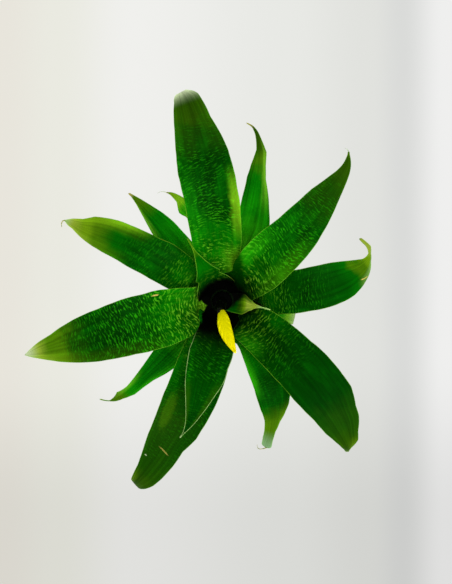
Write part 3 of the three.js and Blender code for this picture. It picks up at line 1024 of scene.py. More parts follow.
@dataclass(frozen=True)
class Leaf:
    """One strap leaf: its sheath in the nest, and its blade.

    age counts outwards from the youngest. Lengths are in metres, and peak, droop_from and
    hook_from are shares of the blade's length.
    """

    age: int
    azimuth: float
    blade: float
    half_width: float
    finish: LeafFinish
    fall: float = -25.0
    curl: float = 1.9
    droop: float = 0.0
    droop_from: float = 0.8
    sweep: float = 0.0
    hook: float = 0.0
    hook_from: float = 0.86
    channel: float = 2 * MM
    belly: float = 23 * MM
    neck: float = 0.84
    peak: float = 0.28
    taper: float = 1.6
    point: float = 1.4
    end_width: float = 0.0
    left_margin: Knots = ()
    right_margin: Knots = ()
    curl_path: tuple[tuple[float, float, float], ...] = ()
    curl_radius: float = 0.45 * MM
    curl_finish: DryFinish = DryFinish()
    slot: Slot = Slot.MATURE_LEAF
    nest: Nest = Nest()

    FLATTEN_FROM = 0.55
    LEAST_BEND = 0.01
    TIP_HALF_WIDTH = 0.55 * MM
    LEAST_HALF_WIDTH = 0.3 * MM
    MARGIN_LEAD = 0.08
    END_ROUNDING = 0.02
    SHEATH_THICKNESS = 0.75 * MM
    BLADE_THICKNESS = 1.0 * MM
    SUNK = 2.0 * MM
    SHEATH_ROW = 2.2 * MM
    BLADE_ROW = 1.15 * MM
    FINE_STEPS = 1200

    @property
    def name(self) -> str:
        """The node that the leaf stands for."""
        return f"leaf_{self.age + 1:02d}"

    @property
    def shift(self) -> float:
        """How far outside the innermost sheath this one lies."""
        return self.nest.pitch * self.age

    @property
    def run(self) -> float:
        """Arc of the straight part beside the stem."""
        return self.shift * math.tan(math.radians(self.nest.rise_at_stem))

    @property
    def turn(self) -> float:
        """Arc over which the sheath turns up."""
        bend = math.radians(self.nest.rise_at_wall - self.nest.rise_at_stem)
        return self.nest.turn_length + self.shift * bend

    @property
    def sheath(self) -> float:
        """Arc of the whole sheath."""
        return self.run + self.turn + self.nest.wall_length - self.nest.wall_loss * self.age

    @property
    def whole(self) -> float:
        """Arc of the whole leaf."""
        return self.sheath + self.blade

    def slope(self, arc: np.ndarray) -> np.ndarray:
        """The midrib's slope above the horizontal, in radians.

        Args:
            arc: arcs from the stem.

        Returns:
            A slope for each.
        """
        nest = self.nest
        wall = lerp(nest.rise_at_stem, nest.rise_at_wall, ease((arc - self.run) / self.turn))
        t = (arc - self.sheath) / self.blade
        lean = self.fall + (nest.rise_at_wall - self.fall) * np.clip(1 - t, 0, 1) ** self.curl
        lean = lean + self.droop * ease((t - self.droop_from) / (1 - self.droop_from))
        return np.radians(np.where(arc < self.sheath, wall, lean))

    def heading(self, arc: np.ndarray) -> np.ndarray:
        """The midrib's direction seen from above, in radians.

        Args:
            arc: arcs from the stem.

        Returns:
            A direction for each.
        """
        t = np.maximum(0, (arc - self.sheath) / self.blade)
        hooked = self.hook * ease((t - self.hook_from) / (1 - self.hook_from))
        return np.radians(self.azimuth + self.sweep * t * t + hooked)

    def half_widths(self, arc: np.ndarray) -> np.ndarray:
        """Half the leaf's width.

        Args:
            arc: arcs from the stem.

        Returns:
            A half-width for each.
        """
        nest = self.nest
        neck = self.half_width * self.neck
        q = arc / self.sheath
        low = lerp(nest.root_half_width, self.belly, ease(q / nest.belly_at))
        high = lerp(self.belly, neck, ease((q - nest.belly_at) / (1 - nest.belly_at)))
        t = (arc - self.sheath) / self.blade
        grown = lerp(neck, self.half_width, ease(t / self.peak))
        x = np.clip((t - self.peak) / (1 - self.peak), 0, 1)
        drawn = np.maximum(self.TIP_HALF_WIDTH, self.half_width * (1 - x**self.taper) ** self.point)
        drawn = np.maximum(drawn, self.end_width * np.sqrt(np.clip((1 - t) / self.END_ROUNDING, 0, 1)))
        in_sheath = np.where(q < nest.belly_at, low, high)
        in_blade = np.where(t < self.peak, grown, drawn)
        return np.where(arc < self.sheath, in_sheath, in_blade)

    def margin(self, arc: np.ndarray, knots: Knots) -> np.ndarray:
        """The distance of one margin from the midrib, with its dents and bulges.

        Args:
            arc: arcs from the stem.
            knots: shares of the blade, and how far the margin stands out there in millimetres.

        Returns:
            A distance for each arc.
        """
        width = self.half_widths(arc)
        if knots:
            first, last = knots[0][0] - self.MARGIN_LEAD, knots[-1][0] + self.MARGIN_LEAD
            shares, shifts = zip((first, 0.0), *knots, (last, 0.0))
            width = width + MM * np.interp((arc - self.sheath) / self.blade, shares, shifts)
        width = np.maximum(width, self.LEAST_HALF_WIDTH)
        width[-1] = 0
        return width

    def rows(self) -> np.ndarray:
        """Arcs at which the leaf's skin has a row of points."""
        low = np.linspace(0, self.sheath, round(self.sheath / self.SHEATH_ROW) + 1)
        count = round(self.blade / self.BLADE_ROW)
        high = self.sheath + self.blade * np.linspace(0, 1, count + 1)[1:]
        return np.concatenate([low, high])

    def midrib(self) -> bpy.types.Mesh:
        """The middle line of the leaf as points, each with what the skin needs to know there."""
        nest = self.nest
        edges = np.linspace(0, self.whole, self.FINE_STEPS + 1)
        middles = (edges[1:] + edges[:-1]) / 2
        step = self.whole / self.FINE_STEPS
        slope = self.slope(middles)
        moves = direction(slope, self.heading(middles)) * step
        rise, outward = math.radians(nest.rise_at_stem), direction(0.0, math.radians(self.azimuth))
        height = nest.start_height - self.shift * math.cos(rise) - self.run * math.sin(rise)
        start = nest.start_radius * outward + [0, 0, height]
        line = np.vstack([np.zeros(3), np.cumsum(moves, axis=0)]) + start
        level = np.concatenate([[0], np.cumsum(np.cos(slope) * step)])

        arc = self.rows()
        middle = np.stack([np.interp(arc, edges, line[:, k]) for k in range(3)], axis=1)
        middle[0] -= self.SUNK * outward
        slope, heading = self.slope(arc), self.heading(arc)
        side = direction(0.0, heading + math.pi / 2)
        t = np.maximum(0, (arc - self.sheath) / self.blade)
        radius = np.hypot(middle[:, 0], middle[:, 1])
        wrap = np.maximum(np.sin(slope), 0) / radius
        flattened = ease((t - self.FLATTEN_FROM) / (1 - self.FLATTEN_FROM))
        dish = 2 * self.channel / self.half_width**2 * (1 - flattened)
        opened = ease((arc - self.sheath) / nest.neck_length)
        fullness = np.ones_like(arc)
        fullness[0] = fullness[-1] = 0
        return point_cloud(self.name, middle, {
            "middle": middle,
            "side": side,
            "inward": np.cross(direction(slope, heading), side),
            "left_width": self.margin(arc, self.left_margin),
            "right_width": self.margin(arc, self.right_margin),
            "bend": np.maximum(wrap + dish, self.LEAST_BEND),
            "opened": opened,
            "thickness": lerp(self.SHEATH_THICKNESS, self.BLADE_THICKNESS, opened) * fullness,
            "fullness": fullness,
            "arc": arc - self.sheath,
            "reach": np.interp(arc, edges, level) - np.interp(self.sheath, edges, level),
            "radius": radius,
        })

    def build(self, skin: "LeafSkin", curl: "WitheredTip") -> bpy.types.Object:
        """Makes the leaf's piece.

        Args:
            skin: the recipe that wraps a skin round a midrib.
            curl: the recipe for a dried tip.

        Returns:
            The piece.
        """
        values = {
            "Rows": len(self.rows()),
            "Seed": float(self.age),
            "Finish": self.finish.dress(self.name + "_finish", self.blade, float(self.age)),
        }
        midrib = self.midrib()
        end = np.array(midrib.vertices[-1].co)
        mesh = skin.run(midrib, self.name + "_skin", values)
        if self.curl_path:
            path = smooth_path([end / MM + np.array(step) for step in self.curl_path], 6) * MM
            dried = curl.run(polyline_mesh("curl_path", [path]), "curl", {
                "Radius": self.curl_radius, "Finish": self.curl_finish.dress(self.name + "_curl")})
            join_meshes(mesh, dried)
        return put_out(mesh, self.name + "_skin", self.name)


class LeafSkin(Recipe):
    """Wraps a closed skin with round margins about a midrib."""

    def __init__(self) -> None:
        """Builds the tree."""
        sizes = {
            "Columns": 72,
            "Rows": 200,
            "Margin thickness": 0.7 * MM,
            "Margin rounding": 0.2,
            "Ripple height": 0.55 * MM,
            "Ripple frequency": 42.0,
            "Margin wave": 0.9 * MM,
            "Outline unevenness": 0.04,
            "Seed": 0.0,
        }
        super().__init__("leaf_skin", sizes)
        graph, given = self.graph, self.given
        grid, turn, row, share = self.rolled_sheet(given["Columns"], given["Rows"])
        across = graph.times(graph.math("COSINE", turn), -1.0)
        lift = graph.math("SINE", turn)
        opened = self.at_row("opened", row)
        arc = self.at_row("arc", row)
        side_of = graph.combine(graph.times(graph.math("SIGN", across), 3.0),
                                graph.times(arc, 45.0), given["Seed"])
        uneven = graph.times(self.wave(side_of, 1.0, given["Outline unevenness"]), opened)
        left = graph.math("GREATER_THAN", across, 0.0)
        half_width = graph.mix(left, self.at_row("right_width", row), self.at_row("left_width", row))
        half_width = graph.times(half_width, graph.plus(uneven, 1.0))
        offset = graph.times(across, half_width)
        surface, normal = self.surface(row, offset, opened)

        flat = graph.combine(offset, arc, graph.times(given["Seed"], 0.37))
        swell = self.wave(flat, given["Ripple frequency"], given["Ripple height"])
        frill = self.wave(graph.vector("MULTIPLY", flat, (0.3, 1.0, 1.0)), 60.0, given["Margin wave"])
        frill = graph.times(frill, graph.math("POWER", graph.math("ABSOLUTE", across), 4.0))
        ripple = graph.times(graph.plus(swell, frill), opened)

        half = self.half_thickness(row, across, lift)
        moved = graph.vector("ADD", surface, graph.scaled(normal, graph.plus(ripple, half)))
        mesh = self.moved(grid, moved)
        mesh = self.store(mesh, "leaf_place", graph.combine(offset, arc, self.at_row("reach", row)),
                          "FLOAT_VECTOR")
        mesh = self.store(mesh, "across", across)
        mesh = self.store(mesh, "upper_face", graph.spread(lift, -0.04, 0.04))
        reach = graph.minus(1.0, graph.math("ABSOLUTE", across))
        mesh = self.store(mesh, "edge_distance", graph.times(reach, half_width))
        mesh = self.store(mesh, "leaf_uv", graph.combine(share, graph.over(row, given["Rows"])),
                          "FLOAT2", "CORNER")
        self.finish(self.closed(mesh))

    def wave(self, place: Socket, frequency: Value, height: Value) -> Socket:
        """Gentle swells of a height, up and down alike."""
        graph = self.graph
        fed = {"Vector": place, "Scale": frequency, "Detail": 1.0}
        noise = graph.node("ShaderNodeTexNoise", fed).outputs[0]
        return graph.times(graph.line(noise, 2.0, -1.0), height)

    def surface(self, row: Socket, offset: Socket, opened: Socket) -> tuple[Socket, Socket]:
        """The leaf's middle surface and its upward normal.

        In the sheath it lies on a surface of revolution round the stem. Over the neck it passes
        into a channelled blade.

        Args:
            row: the row's number.
            offset: distance from the midrib, positive to the left.
            opened: how far the sheath has opened into the blade.

        Returns:
            Position and normal.
        """
        graph = self.graph
        middle = self.at_row("middle", row, "FLOAT_VECTOR")
        side = self.at_row("side", row, "FLOAT_VECTOR")
        inward = self.at_row("inward", row, "FLOAT_VECTOR")
        bend = self.at_row("bend", row)
        round_stem = graph.over(offset, self.at_row("radius", row))
        nested, nested_normal = graph.turned(middle, round_stem), graph.turned(inward, round_stem)
        angle = graph.times(bend, offset)
        sine, cosine = graph.math("SINE", angle), graph.math("COSINE", angle)
        out = graph.scaled(side, graph.over(sine, bend))
        up = graph.scaled(inward, graph.over(graph.minus(1.0, cosine), bend))
        blade = graph.vector("ADD", middle, graph.vector("ADD", out, up))
        blade_normal = graph.vector("SUBTRACT", graph.scaled(inward, cosine), graph.scaled(side, sine))
        normal = graph.vector("NORMALIZE", graph.mix_vector(opened, nested_normal, blade_normal))
        return graph.mix_vector(opened, nested, blade), normal

    def half_thickness(self, row: Socket, across: Socket, lift: Socket) -> Socket:
        """How far the skin stands off the middle surface, negative on the lower face.

        Args:
            row: the row's number.
            across: from -1 at the right margin to 1 at the left.
            lift: sine of the turn round the leaf, positive on the upper face.

        Returns:
            The distance.
        """
        graph, given = self.graph, self.given
        margin = graph.times(given["Margin thickness"], self.at_row("fullness", row))
        square = graph.times(across, across)
        thick = graph.mix(square, self.at_row("thickness", row), margin)
        near = graph.math("DIVIDE", graph.math("ABSOLUTE", lift), given["Margin rounding"], clamp=True)
        rest = graph.minus(1.0, near)
        swell = graph.math("SQRT", graph.minus(1.0, graph.times(rest, rest)))
        signed = graph.times(swell, graph.math("SIGN", lift))
        return graph.times(thick, 0.5, signed)


class ClaspingBracts(Recipe):
    """Bracts that clasp a path one after another, and the core that they stand on."""

    CORE_SIDES = 20
    ARCH = (0.83, 0.14, 0.9)  # how much of a sine's arch the outline follows, from where, how full
    FLARE = 0.07  # how much further a bract's tip stands out
    KEEL_OUT = 0.3 * MM
    EDGE_IN = 0.7 * MM
    CROSSING = 0.45  # how far the inner margins cross the path low down
    FOOT_DEPTH, TIP_DEPTH = 0.86, 1.02
    THIN_TIP = 0.25
    LEAST_DEPTH = 0.15 * MM
    ROUNDNESS = 0.8

    def __init__(self) -> None:
        """Builds the tree."""
        sizes = {
            "Count": 12,
            "First start": 0.0,
            "Last start": 0.76,
            "Length": 0.36,
            "Turn": math.pi,
            "Half width": 5.9 * MM,
            "Half depth": 2.9 * MM,
            "Tapered": 1.0,
            "Core radius": 0.9 * MM,
            "Columns": 32,
            "Rows": 30,
        }
        super().__init__("clasping_bracts", sizes)
        graph, given = self.graph, self.given
        path = self.path()
        grid, turn, row, _ = self.rolled_sheet(given["Columns"], given["Rows"])
        blank = self.store(grid, "bract_turn", turn)
        blank = self.store(blank, "bract_along", graph.over(row, graph.minus(given["Rows"], 1)))
        single = graph.node("GeometryNodeGeometryToInstance", {0: blank}).outputs[0]
        fed = {"Geometry": single, "Amount": given["Count"]}
        copies = graph.node("GeometryNodeDuplicateElements", fed, domain="INSTANCE").outputs
        numbered = self.store(copies["Geometry"], "bract_number", copies["Duplicate Index"], "FLOAT",
                              "INSTANCE")
        bracts = self.closed(self.moved(self.real(numbered), self.place(path)))
        core = self.tube(path, given["Core radius"], self.CORE_SIDES)
        self.finish(self.joined(core, bracts))

    def place(self, path: Socket) -> Socket:
        """Where a point of a bract lies.

        The keel follows the spike's outline. The inner margins cross the path low down and run out
        to the keel at the bract's tip.

        Args:
            path: the curve that the bracts clasp.

        Returns:
            The position.
        """
        graph, given = self.graph, self.given
        along, turn, number = (self.named("bract_" + name) for name in ("along", "turn", "number"))
        step = graph.over(graph.minus(given["Last start"], given["First start"]),
                          graph.minus(given["Count"], 1))
        start = graph.line(number, step, given["First start"])
        length = graph.math("MINIMUM", given["Length"], graph.minus(1.0, start))
        share = graph.math("MINIMUM", 1.0, graph.line(along, length, start))
        read = graph.node("GeometryNodeSampleCurve", {"Curves": path, "Factor": share},
                          mode="FACTOR", use_all_curves=True).outputs
        forward = read["Tangent"]
        level = graph.vector("NORMALIZE", graph.vector("CROSS_PRODUCT", (0.0, 0.0, 1.0), forward))
        outward = graph.turned(level, graph.times(number, given["Turn"]), forward)
        face = graph.vector("NORMALIZE", graph.vector("CROSS_PRODUCT", forward, outward))

        keel, inner, depth = self.section(share, along)
        sine, cosine = graph.math("SINE", turn), graph.math("COSINE", turn)
        rounded = graph.math("POWER", graph.math("ABSOLUTE", sine), self.ROUNDNESS)
        ends = graph.times(graph.spread(along, 0.0, 0.02), graph.spread(along, 0.97, 1.0, 1.0, 0.0))
        over = graph.times(rounded, graph.math("SIGN", sine), depth, ends)
        out = graph.mix(graph.line(cosine, 0.5, 0.5), inner, keel)
        out = graph.mix(ends, graph.mix(0.6, inner, keel), out)
        moved = graph.vector("ADD", graph.scaled(outward, out), graph.scaled(face, over))
        return graph.vector("ADD", read["Position"], moved)

    def section(self, share: Socket, along: Socket) -> tuple[Socket, Socket, Socket]:
        """A bract's cross-section.

        Args:
            share: how far along the whole path it lies.
            along: how far along the bract it lies.

        Returns:
            How far out its keel and its inner margins stand, and half its depth.
        """
        graph, given = self.graph, self.given
        extent, start, fullness = self.ARCH
        arch = graph.math("SINE", graph.times(graph.line(share, extent, start), math.pi))
        full = graph.math("POWER", graph.math("MAXIMUM", arch, 0.0), fullness)
        outline = graph.mix(given["Tapered"], 1.0, full)
        flare = graph.line(along, self.FLARE, 1.0)
        keel = graph.line(graph.times(given["Half width"], outline), flare, self.KEEL_OUT)
        low, high = graph.times(keel, -self.CROSSING), graph.minus(keel, self.EDGE_IN)
        inner = graph.mix(graph.spread(along, 0.25, 1.0), low, high)
        swell = graph.line(along, self.TIP_DEPTH - self.FOOT_DEPTH, self.FOOT_DEPTH)
        thin = graph.spread(along, 0.7, 1.0, 1.0, self.THIN_TIP)
        depth = graph.line(graph.times(given["Half depth"], outline, swell), thin, self.LEAST_DEPTH)
        return keel, inner, depth


class WiryRoots(Recipe):
    """Tough thin roots along their paths, knobbly and set with short side roots."""

    ROOTLET_SPINS = ((0.7, -1.0, 0.0), (1.5, 1.0, math.tau))
    ROOTLET_TAPER = 0.75

    def __init__(self) -> None:
        """Builds the tree."""
        sizes = {
            "Radius": 1.15 * MM,
            "Taper": 0.22,
            "Knobbliness": 0.3,
            "Wobble": 1.1 * MM,
            "Sides": 12,
            "Step": 1.0 * MM,
            "Rootlet spacing": 5.5 * MM,
            "Rootlet length": 6.0 * MM,
            "Rootlet radius": 0.24 * MM,
            "Seed": 7,
        }
        super().__init__("wiry_roots", sizes)
        graph, given = self.graph, self.given
        fed = {"Curve": self.path(), "Length": given["Step"]}
        fine = graph.node("GeometryNodeResampleCurve", fed, mode="LENGTH").outputs[0]
        along, where = self.way(), self.position()
        fed = {"Vector": where, "Scale": 90.0, "Detail": 1.0}
        stray = graph.vector("SUBTRACT", graph.node("ShaderNodeTexNoise", fed).outputs[1], (0.5, 0.5, 0.5))
        drift = graph.scaled(stray, graph.times(graph.spread(along, 0.1, 0.5), given["Wobble"]))
        fed = {0: fine, "Offset": graph.scaled(drift, 2.0)}
        moved = graph.node("GeometryNodeSetPosition", fed).outputs[0]
        uneven = graph.line(graph.minus(graph.noise(where, 260.0), 0.5), given["Knobbliness"], 1.0)
        radius = graph.times(given["Radius"], self.tapered(), uneven)
        tubes = self.tube(moved, radius, given["Sides"])
        smooth = self.smooth(self.real(self.joined(tubes, self.rootlets(moved))))
        x, y, z = graph.split(self.position())
        resting = graph.combine(x, y, graph.math("MAXIMUM", z, 0.0))
        self.finish(self.moved(smooth, resting))

    def rootlets(self, curve: Socket) -> Socket:
        """Short side roots that stand off a root at chance angles.

        Args:
            curve: the roots' paths.

        Returns:
            The side roots as instances.
        """
        graph, given = self.graph, self.given
        fed = {"Curve": curve, "Length": given["Rootlet spacing"]}
        spots = graph.node("GeometryNodeCurveToPoints", fed, mode="LENGTH")
        length = given["Rootlet length"]
        line = graph.node("GeometryNodeCurvePrimitiveBezierSegment", {
            "Resolution": 5,
            "Start": (0.0, 0.0, 0.0),
            "Start Handle": graph.combine(0.0, 0.0, graph.times(length, 0.4)),
            "End Handle": graph.combine(graph.times(length, 0.1), 0.0, graph.times(length, 0.7)),
            "End": graph.combine(graph.times(length, 0.35), 0.0, length),
        }).outputs[0]
        thin = graph.line(self.way(), -self.ROOTLET_TAPER, 1.0)
        hair = self.tube(line, graph.times(thin, given["Rootlet radius"]), 5)
        return self.strewn(spots, spots.outputs["Rotation"], hair, self.ROOTLET_SPINS, 0.35)


class WitheredTip(Recipe):
    """The thin dry curl that a leaf may end in."""

    def __init__(self) -> None:
        """Builds the tree."""
        super().__init__("withered_tip", {"Radius": 0.45 * MM, "Taper": 0.7, "Sides": 8})
        graph, given = self.graph, self.given
        knots = graph.plus(graph.noise(self.position(), 700.0, 1.0), 0.5)
        radius = graph.times(given["Radius"], self.tapered(), knots)
        tube = self.tube(self.path(), radius, given["Sides"])
        self.finish(self.smooth(self.real(tube)))


class ScarredStem(Recipe):
    """A stem turned from its profile, uneven in the bark and set with torn leaf-base fibres."""

    FIBRE_SPINS = ((-0.35, 0.1, -0.2), (0.35, 0.5, 0.2))
    STEEPEST_SPOT = 0.7

    def __init__(self) -> None:
        """Builds the tree."""
        sizes = {
            "Columns": 96,
            "Rows": 100,
            "Unevenness": 0.55 * MM,
            "Fibre density": 42000.0,
            "Fibre length": 5.0 * MM,
            "Fibre foot": 0.2 * MM,
            "Fibre tip": 0.03 * MM,
            "Fibres from": 3.0 * MM,
            "Fibres to": 30.0 * MM,
            "Seed": 3,
        }
        super().__init__("scarred_stem", sizes)
        graph, given = self.graph, self.given
        grid, turn, row, _ = self.rolled_sheet(given["Columns"], given["Rows"])
        radius, height = self.at_row("radius", row), self.at_row("height", row)
        around = graph.combine(graph.math("COSINE", turn), graph.math("SINE", turn))
        place = graph.vector("ADD", graph.scaled(around, radius), graph.combine(0.0, 0.0, height))
        bark = graph.noise(graph.vector("MULTIPLY", place, (1.0, 1.0, 0.5)), 330.0, 3.0)
        free = graph.times(self.at_row("free", row), given["Unevenness"])
        swell = graph.times(graph.line(bark, 2.0, -1.25), free)
        uneven = graph.vector("ADD", place, graph.scaled(around, swell))
        stem = self.closed(self.moved(grid, uneven))
        self.finish(self.joined(stem, self.fibres(stem)))

    def fibres(self, stem: Socket) -> Socket:
        """Torn fibres of old leaf bases, which stand up close to the stem.

        Args:
            stem: the stem's mesh.

        Returns:
            The fibres as instances.
        """
        graph, given = self.graph, self.given
        _, _, z = graph.split(self.position())
        _, _, facing = graph.split(graph.node("GeometryNodeInputNormal").outputs[0])
        band = graph.times(graph.math("GREATER_THAN", z, given["Fibres from"]),
                           graph.math("LESS_THAN", z, given["Fibres to"]))
        side = graph.math("LESS_THAN", graph.math("ABSOLUTE", facing), self.STEEPEST_SPOT)
        spots = graph.node("GeometryNodeDistributePointsOnFaces", {
            "Mesh": stem,
            "Selection": graph.times(band, side),
            "Density": given["Fibre density"],
            "Seed": given["Seed"],
        })
        fed = {"Vector": spots.outputs["Normal"]}
        upright = graph.node("FunctionNodeAlignRotationToVector", fed, axis="X").outputs[0]
        cone = graph.node("GeometryNodeMeshCone", {
            "Vertices": 4,
            "Side Segments": 2,
            "Radius Top": given["Fibre tip"],
            "Radius Bottom": given["Fibre foot"],
            "Depth": given["Fibre length"],
        }).outputs["Mesh"]
        return self.strewn(spots, upright, cone, self.FIBRE_SPINS, 0.3)


@dataclass(frozen=True)
class BarkFinish:
    """Brown fibrous bark, darker in its cracks, and painted black with the cup's shade where it
    stands in the cup.
    """

    crack: Ink = Ink.BARK_CRACK
    face: Ink = Ink.BARK
    ridge: Ink = Ink.BARK_RIDGE
    # painted shade: the near black that the bark turns high up, where it stands in the cup's shade
    shade_ink: Ink = Ink.BARK_SHADE_BLACK
    shade_from: float = 30 * MM
    shade_over: float = 15 * MM
    grain: float = 900.0
    relief: float = 0.5 * MM
    roughness: float = 0.85

    def dress(self, name: str) -> bpy.types.Material:
        """Makes the material.

        Args:
            name: the material's name.

        Returns:
            The material.
        """
        material, graph, shader = new_material(name)
        place = graph.object_place()
        fibre = graph.noise(graph.vector("MULTIPLY", place, (1.0, 1.0, 0.25)), self.grain, 4.0, 0.65)
        cloud = graph.noise(place, 160.0, 3.0)
        colour = graph.ramp(fibre, [(0.3, self.crack), (0.5, self.face), (0.72, self.ridge)])
        colour = graph.blend(graph.spread(cloud, 0.45, 0.7), colour, self.crack)
        _, _, z = graph.split(place)
        in_shade = graph.spread(z, self.shade_from, self.shade_from + self.shade_over)
        graph.fill(shader, {
            "Base Color": graph.blend(in_shade, colour, self.shade_ink),
            "Normal": graph.bump(fibre, 0.6, self.relief),
            "Roughness": self.roughness,
            "Specular IOR Level": DULL,
        })
        return material


@dataclass(frozen=True)
class BractFinish:
    """Waxy bracts with fine lengthwise lines, painted shade of another colour low down and inside."""

    face: Ink
    line: Ink
    shade: Ink
    keel: Ink
    shade_strength: float = 0.6
    keel_strength: float = 0.0
    lines: float = 9.0
    relief: float = 0.25 * MM
    roughness: float = 0.38
    specular: float = 0.08
    glow: float = 0.0

    def dress(self, name: str) -> bpy.types.Material:
        """Makes the material.

        Args:
            name: the material's name.

        Returns:
            The material.
        """
        material, graph, shader = new_material(name)
        along, turn = graph.attribute("bract_along"), graph.attribute("bract_turn")
        cosine = graph.math("COSINE", turn)
        lines_at = graph.combine(graph.times(cosine, self.lines), graph.times(along, 1.2),
                                 graph.attribute("bract_number"))
        lines = graph.noise(lines_at, 1.0, 3.0, 0.6)
        colour = graph.blend(graph.spread(lines, 0.52, 0.72, 0.0, 0.55), self.face, self.line)
        cloud = graph.spread(graph.noise(graph.object_place(), 210.0, 2.0), 0.42, 0.62)
        painted_shade = graph.times(graph.spread(along, 0.62, 0.1), cloud, self.shade_strength)
        colour = graph.blend(painted_shade, colour, self.shade)
        ridge = graph.times(graph.spread(cosine, 0.93, 0.995), self.keel_strength)
        colour = graph.blend(ridge, colour, self.keel)
        graph.fill(shader, {
            "Base Color": colour,
            "Normal": graph.bump(lines, 0.35, self.relief),
            "Roughness": self.roughness,
            "Specular IOR Level": self.specular,
        })
        # Painted light: the bracts give off light in their own colour.
        if self.glow:
            graph.fill(shader, {"Emission Color": colour, "Emission Strength": self.glow})
        return material


@dataclass
class StemWithRoots:
    """The short stem with its leaf scars, and the trimmed roots that it rests on."""

    node: str = "stem_with_roots"
    foot_radius: float = 8.6 * MM
    radius: float = 9.2 * MM
    top_radius: float = 7 * MM
    height: float = 50 * MM
    shoulder: float = 2.4 * MM
    scar_pitch: float = 4.6 * MM
    scar_depth: float = 0.45 * MM
    root_count: int = 13
    root_radius: float = 1.15 * MM
    root_reach: float = 38 * MM
    finish: BarkFinish = BarkFinish()

    ROW_STEP = 0.5 * MM
    SHOULDER_ROWS = 12
    FLAT_ROWS = 5
    SMOOTH_FOOT = 3 * MM
    SMOOTH_TOP = 6 * MM

    def profile(self) -> bpy.types.Mesh:
        """The stem's outline from the middle of its foot to the middle of its top, as points."""
        heights = np.arange(0, self.height - self.shoulder, self.ROW_STEP)
        ridge = (0.5 + 0.5 * np.cos(math.tau * heights / self.scar_pitch)) ** 3
        radii = self.radius - self.scar_depth * ridge
        radii[0] = self.foot_radius
        bend = np.linspace(0, math.pi / 2, self.SHOULDER_ROWS)
        cap_radii = lerp(self.top_radius, self.radius, np.cos(bend))
        cap_heights = self.height - self.shoulder * (1 - np.sin(bend))
        flat = np.linspace(1, 0, self.FLAT_ROWS + 1)
        r = np.concatenate([flat[:0:-1] * self.foot_radius, radii, cap_radii, flat[1:] * self.top_radius])
        top = np.full(self.FLAT_ROWS, self.height)
        z = np.concatenate([np.zeros(self.FLAT_ROWS), heights, cap_heights, top])
        free = ease(z / self.SMOOTH_FOOT) * ease((self.height - z) / self.SMOOTH_TOP)
        free = ease(r / self.radius * 2 - 1) * free
        points = np.stack([r, np.zeros_like(r), z], axis=1)
        return point_cloud("stem_profile", points, {"radius": r, "height": z, "free": free})

    def root_path(self, number: int) -> np.ndarray:
        """The middle of one root, which leaves the stem, bends down and lies out along the surface.

        Args:
            number: the root's number.

        Returns:
            Points along it.
        """
        def vary(rate: float) -> float:
            """A value from -1 to 1 that is this root's own."""
            return math.sin(rate * (number + 1))

        turn = math.radians(number * 360 / self.root_count + 9 * vary(2.4))
        height = (5 + 9 * vary(2.9) ** 2) * MM
        reach = self.root_reach * (1 - 0.3 * vary(1.9) ** 2)
        lean = 0.3 * vary(3.7)
        lying = self.root_radius * 0.8

        def place(radius: float, z: float, extra: float) -> tuple[float, float, float]:
            """A point at a radius and a height, turned by a little more than the root."""
            return radius * math.cos(turn + extra), radius * math.sin(turn + extra), z

        return smooth_path([
            place(4 * MM, height + MM, 0),
            place(11 * MM, height, 0),
            place(18 * MM, height * 0.45, lean * 0.4),
            place(reach * 0.7, lying, lean),
            place(reach, lying, lean * 1.7),
        ], 12)

    def build(self) -> list[bpy.types.Object]:
        """Makes the stem's piece and the roots' piece."""
        bark = self.finish.dress("stem_bark")
        profile = self.profile()
        stem = ScarredStem().run(profile, "stem_skin", {"Rows": len(profile.vertices), "Finish": bark})
        paths = [self.root_path(number) for number in range(self.root_count)]
        roots = WiryRoots().run(polyline_mesh("root_paths", paths), "roots_skin", {"Finish": bark})
        return [
            put_out(stem, "stem_skin", self.node),
            put_out(roots, "roots_skin", self.node),
        ]


def polyline_mesh(name: str, paths: Sequence[np.ndarray]) -> bpy.types.Mesh:
    """Edges along one or more paths.

    Args:
        name: the mesh's name.
        paths: points along each.

    Returns:
        The mesh.
    """
    mesh = bpy.data.meshes.new(name)
    starts = np.cumsum([0] + [len(path) for path in paths])
    edges = [(s + i, s + i + 1) for s, path in zip(starts, paths) for i in range(len(path) - 1)]
    mesh.from_pydata(np.vstack(paths).tolist(), edges, [])
    return mesh


@dataclass
class FlowerStalk:
    """The stalk that rises through the cup, with green bracts that clasp it in a spiral, all painted
    near black with the cup's shade.
    """

    node: str = "flower_stalk"
    path: tuple = ((0, 0, 50.4), (0, 0, 60), (-0.6, -2.5, 80), (-1.6, -8.2, 98))
    radius: float = 3.2 * MM
    bracts: int = 6
    bract_share: float = 0.42
    bract_turn: float = 144.0
    finish: BractFinish = BractFinish(
        Ink.STALK, Ink.STALK_LINE, Ink.STALK_SHADE, Ink.STALK_KEEL, keel_strength=0.5)

    FIRST_BRACT = 0.06
    LAST_END = 0.96

    def build(self, recipe: ClaspingBracts) -> bpy.types.Object:
        """Makes the stalk's piece.

        Args:
            recipe: the recipe that sets bracts along a path.

        Returns:
            The piece.
        """
        path = smooth_path(self.path, 14) * MM
        mesh = recipe.run(polyline_mesh("stalk_path", [path]), "stalk_skin", {
            "Count": self.bracts,
            "First start": self.FIRST_BRACT,
            "Last start": self.LAST_END - self.bract_share,
            "Length": self.bract_share,
            "Turn": math.radians(self.bract_turn),
            "Half width": self.radius * 1.25,
            "Half depth": self.radius * 1.15,
            "Tapered": 0.0,
            "Core radius": self.radius,
            "Finish": self.finish.dress("stalk_bract"),
        })
        return put_out(mesh, "stalk_skin", self.node)


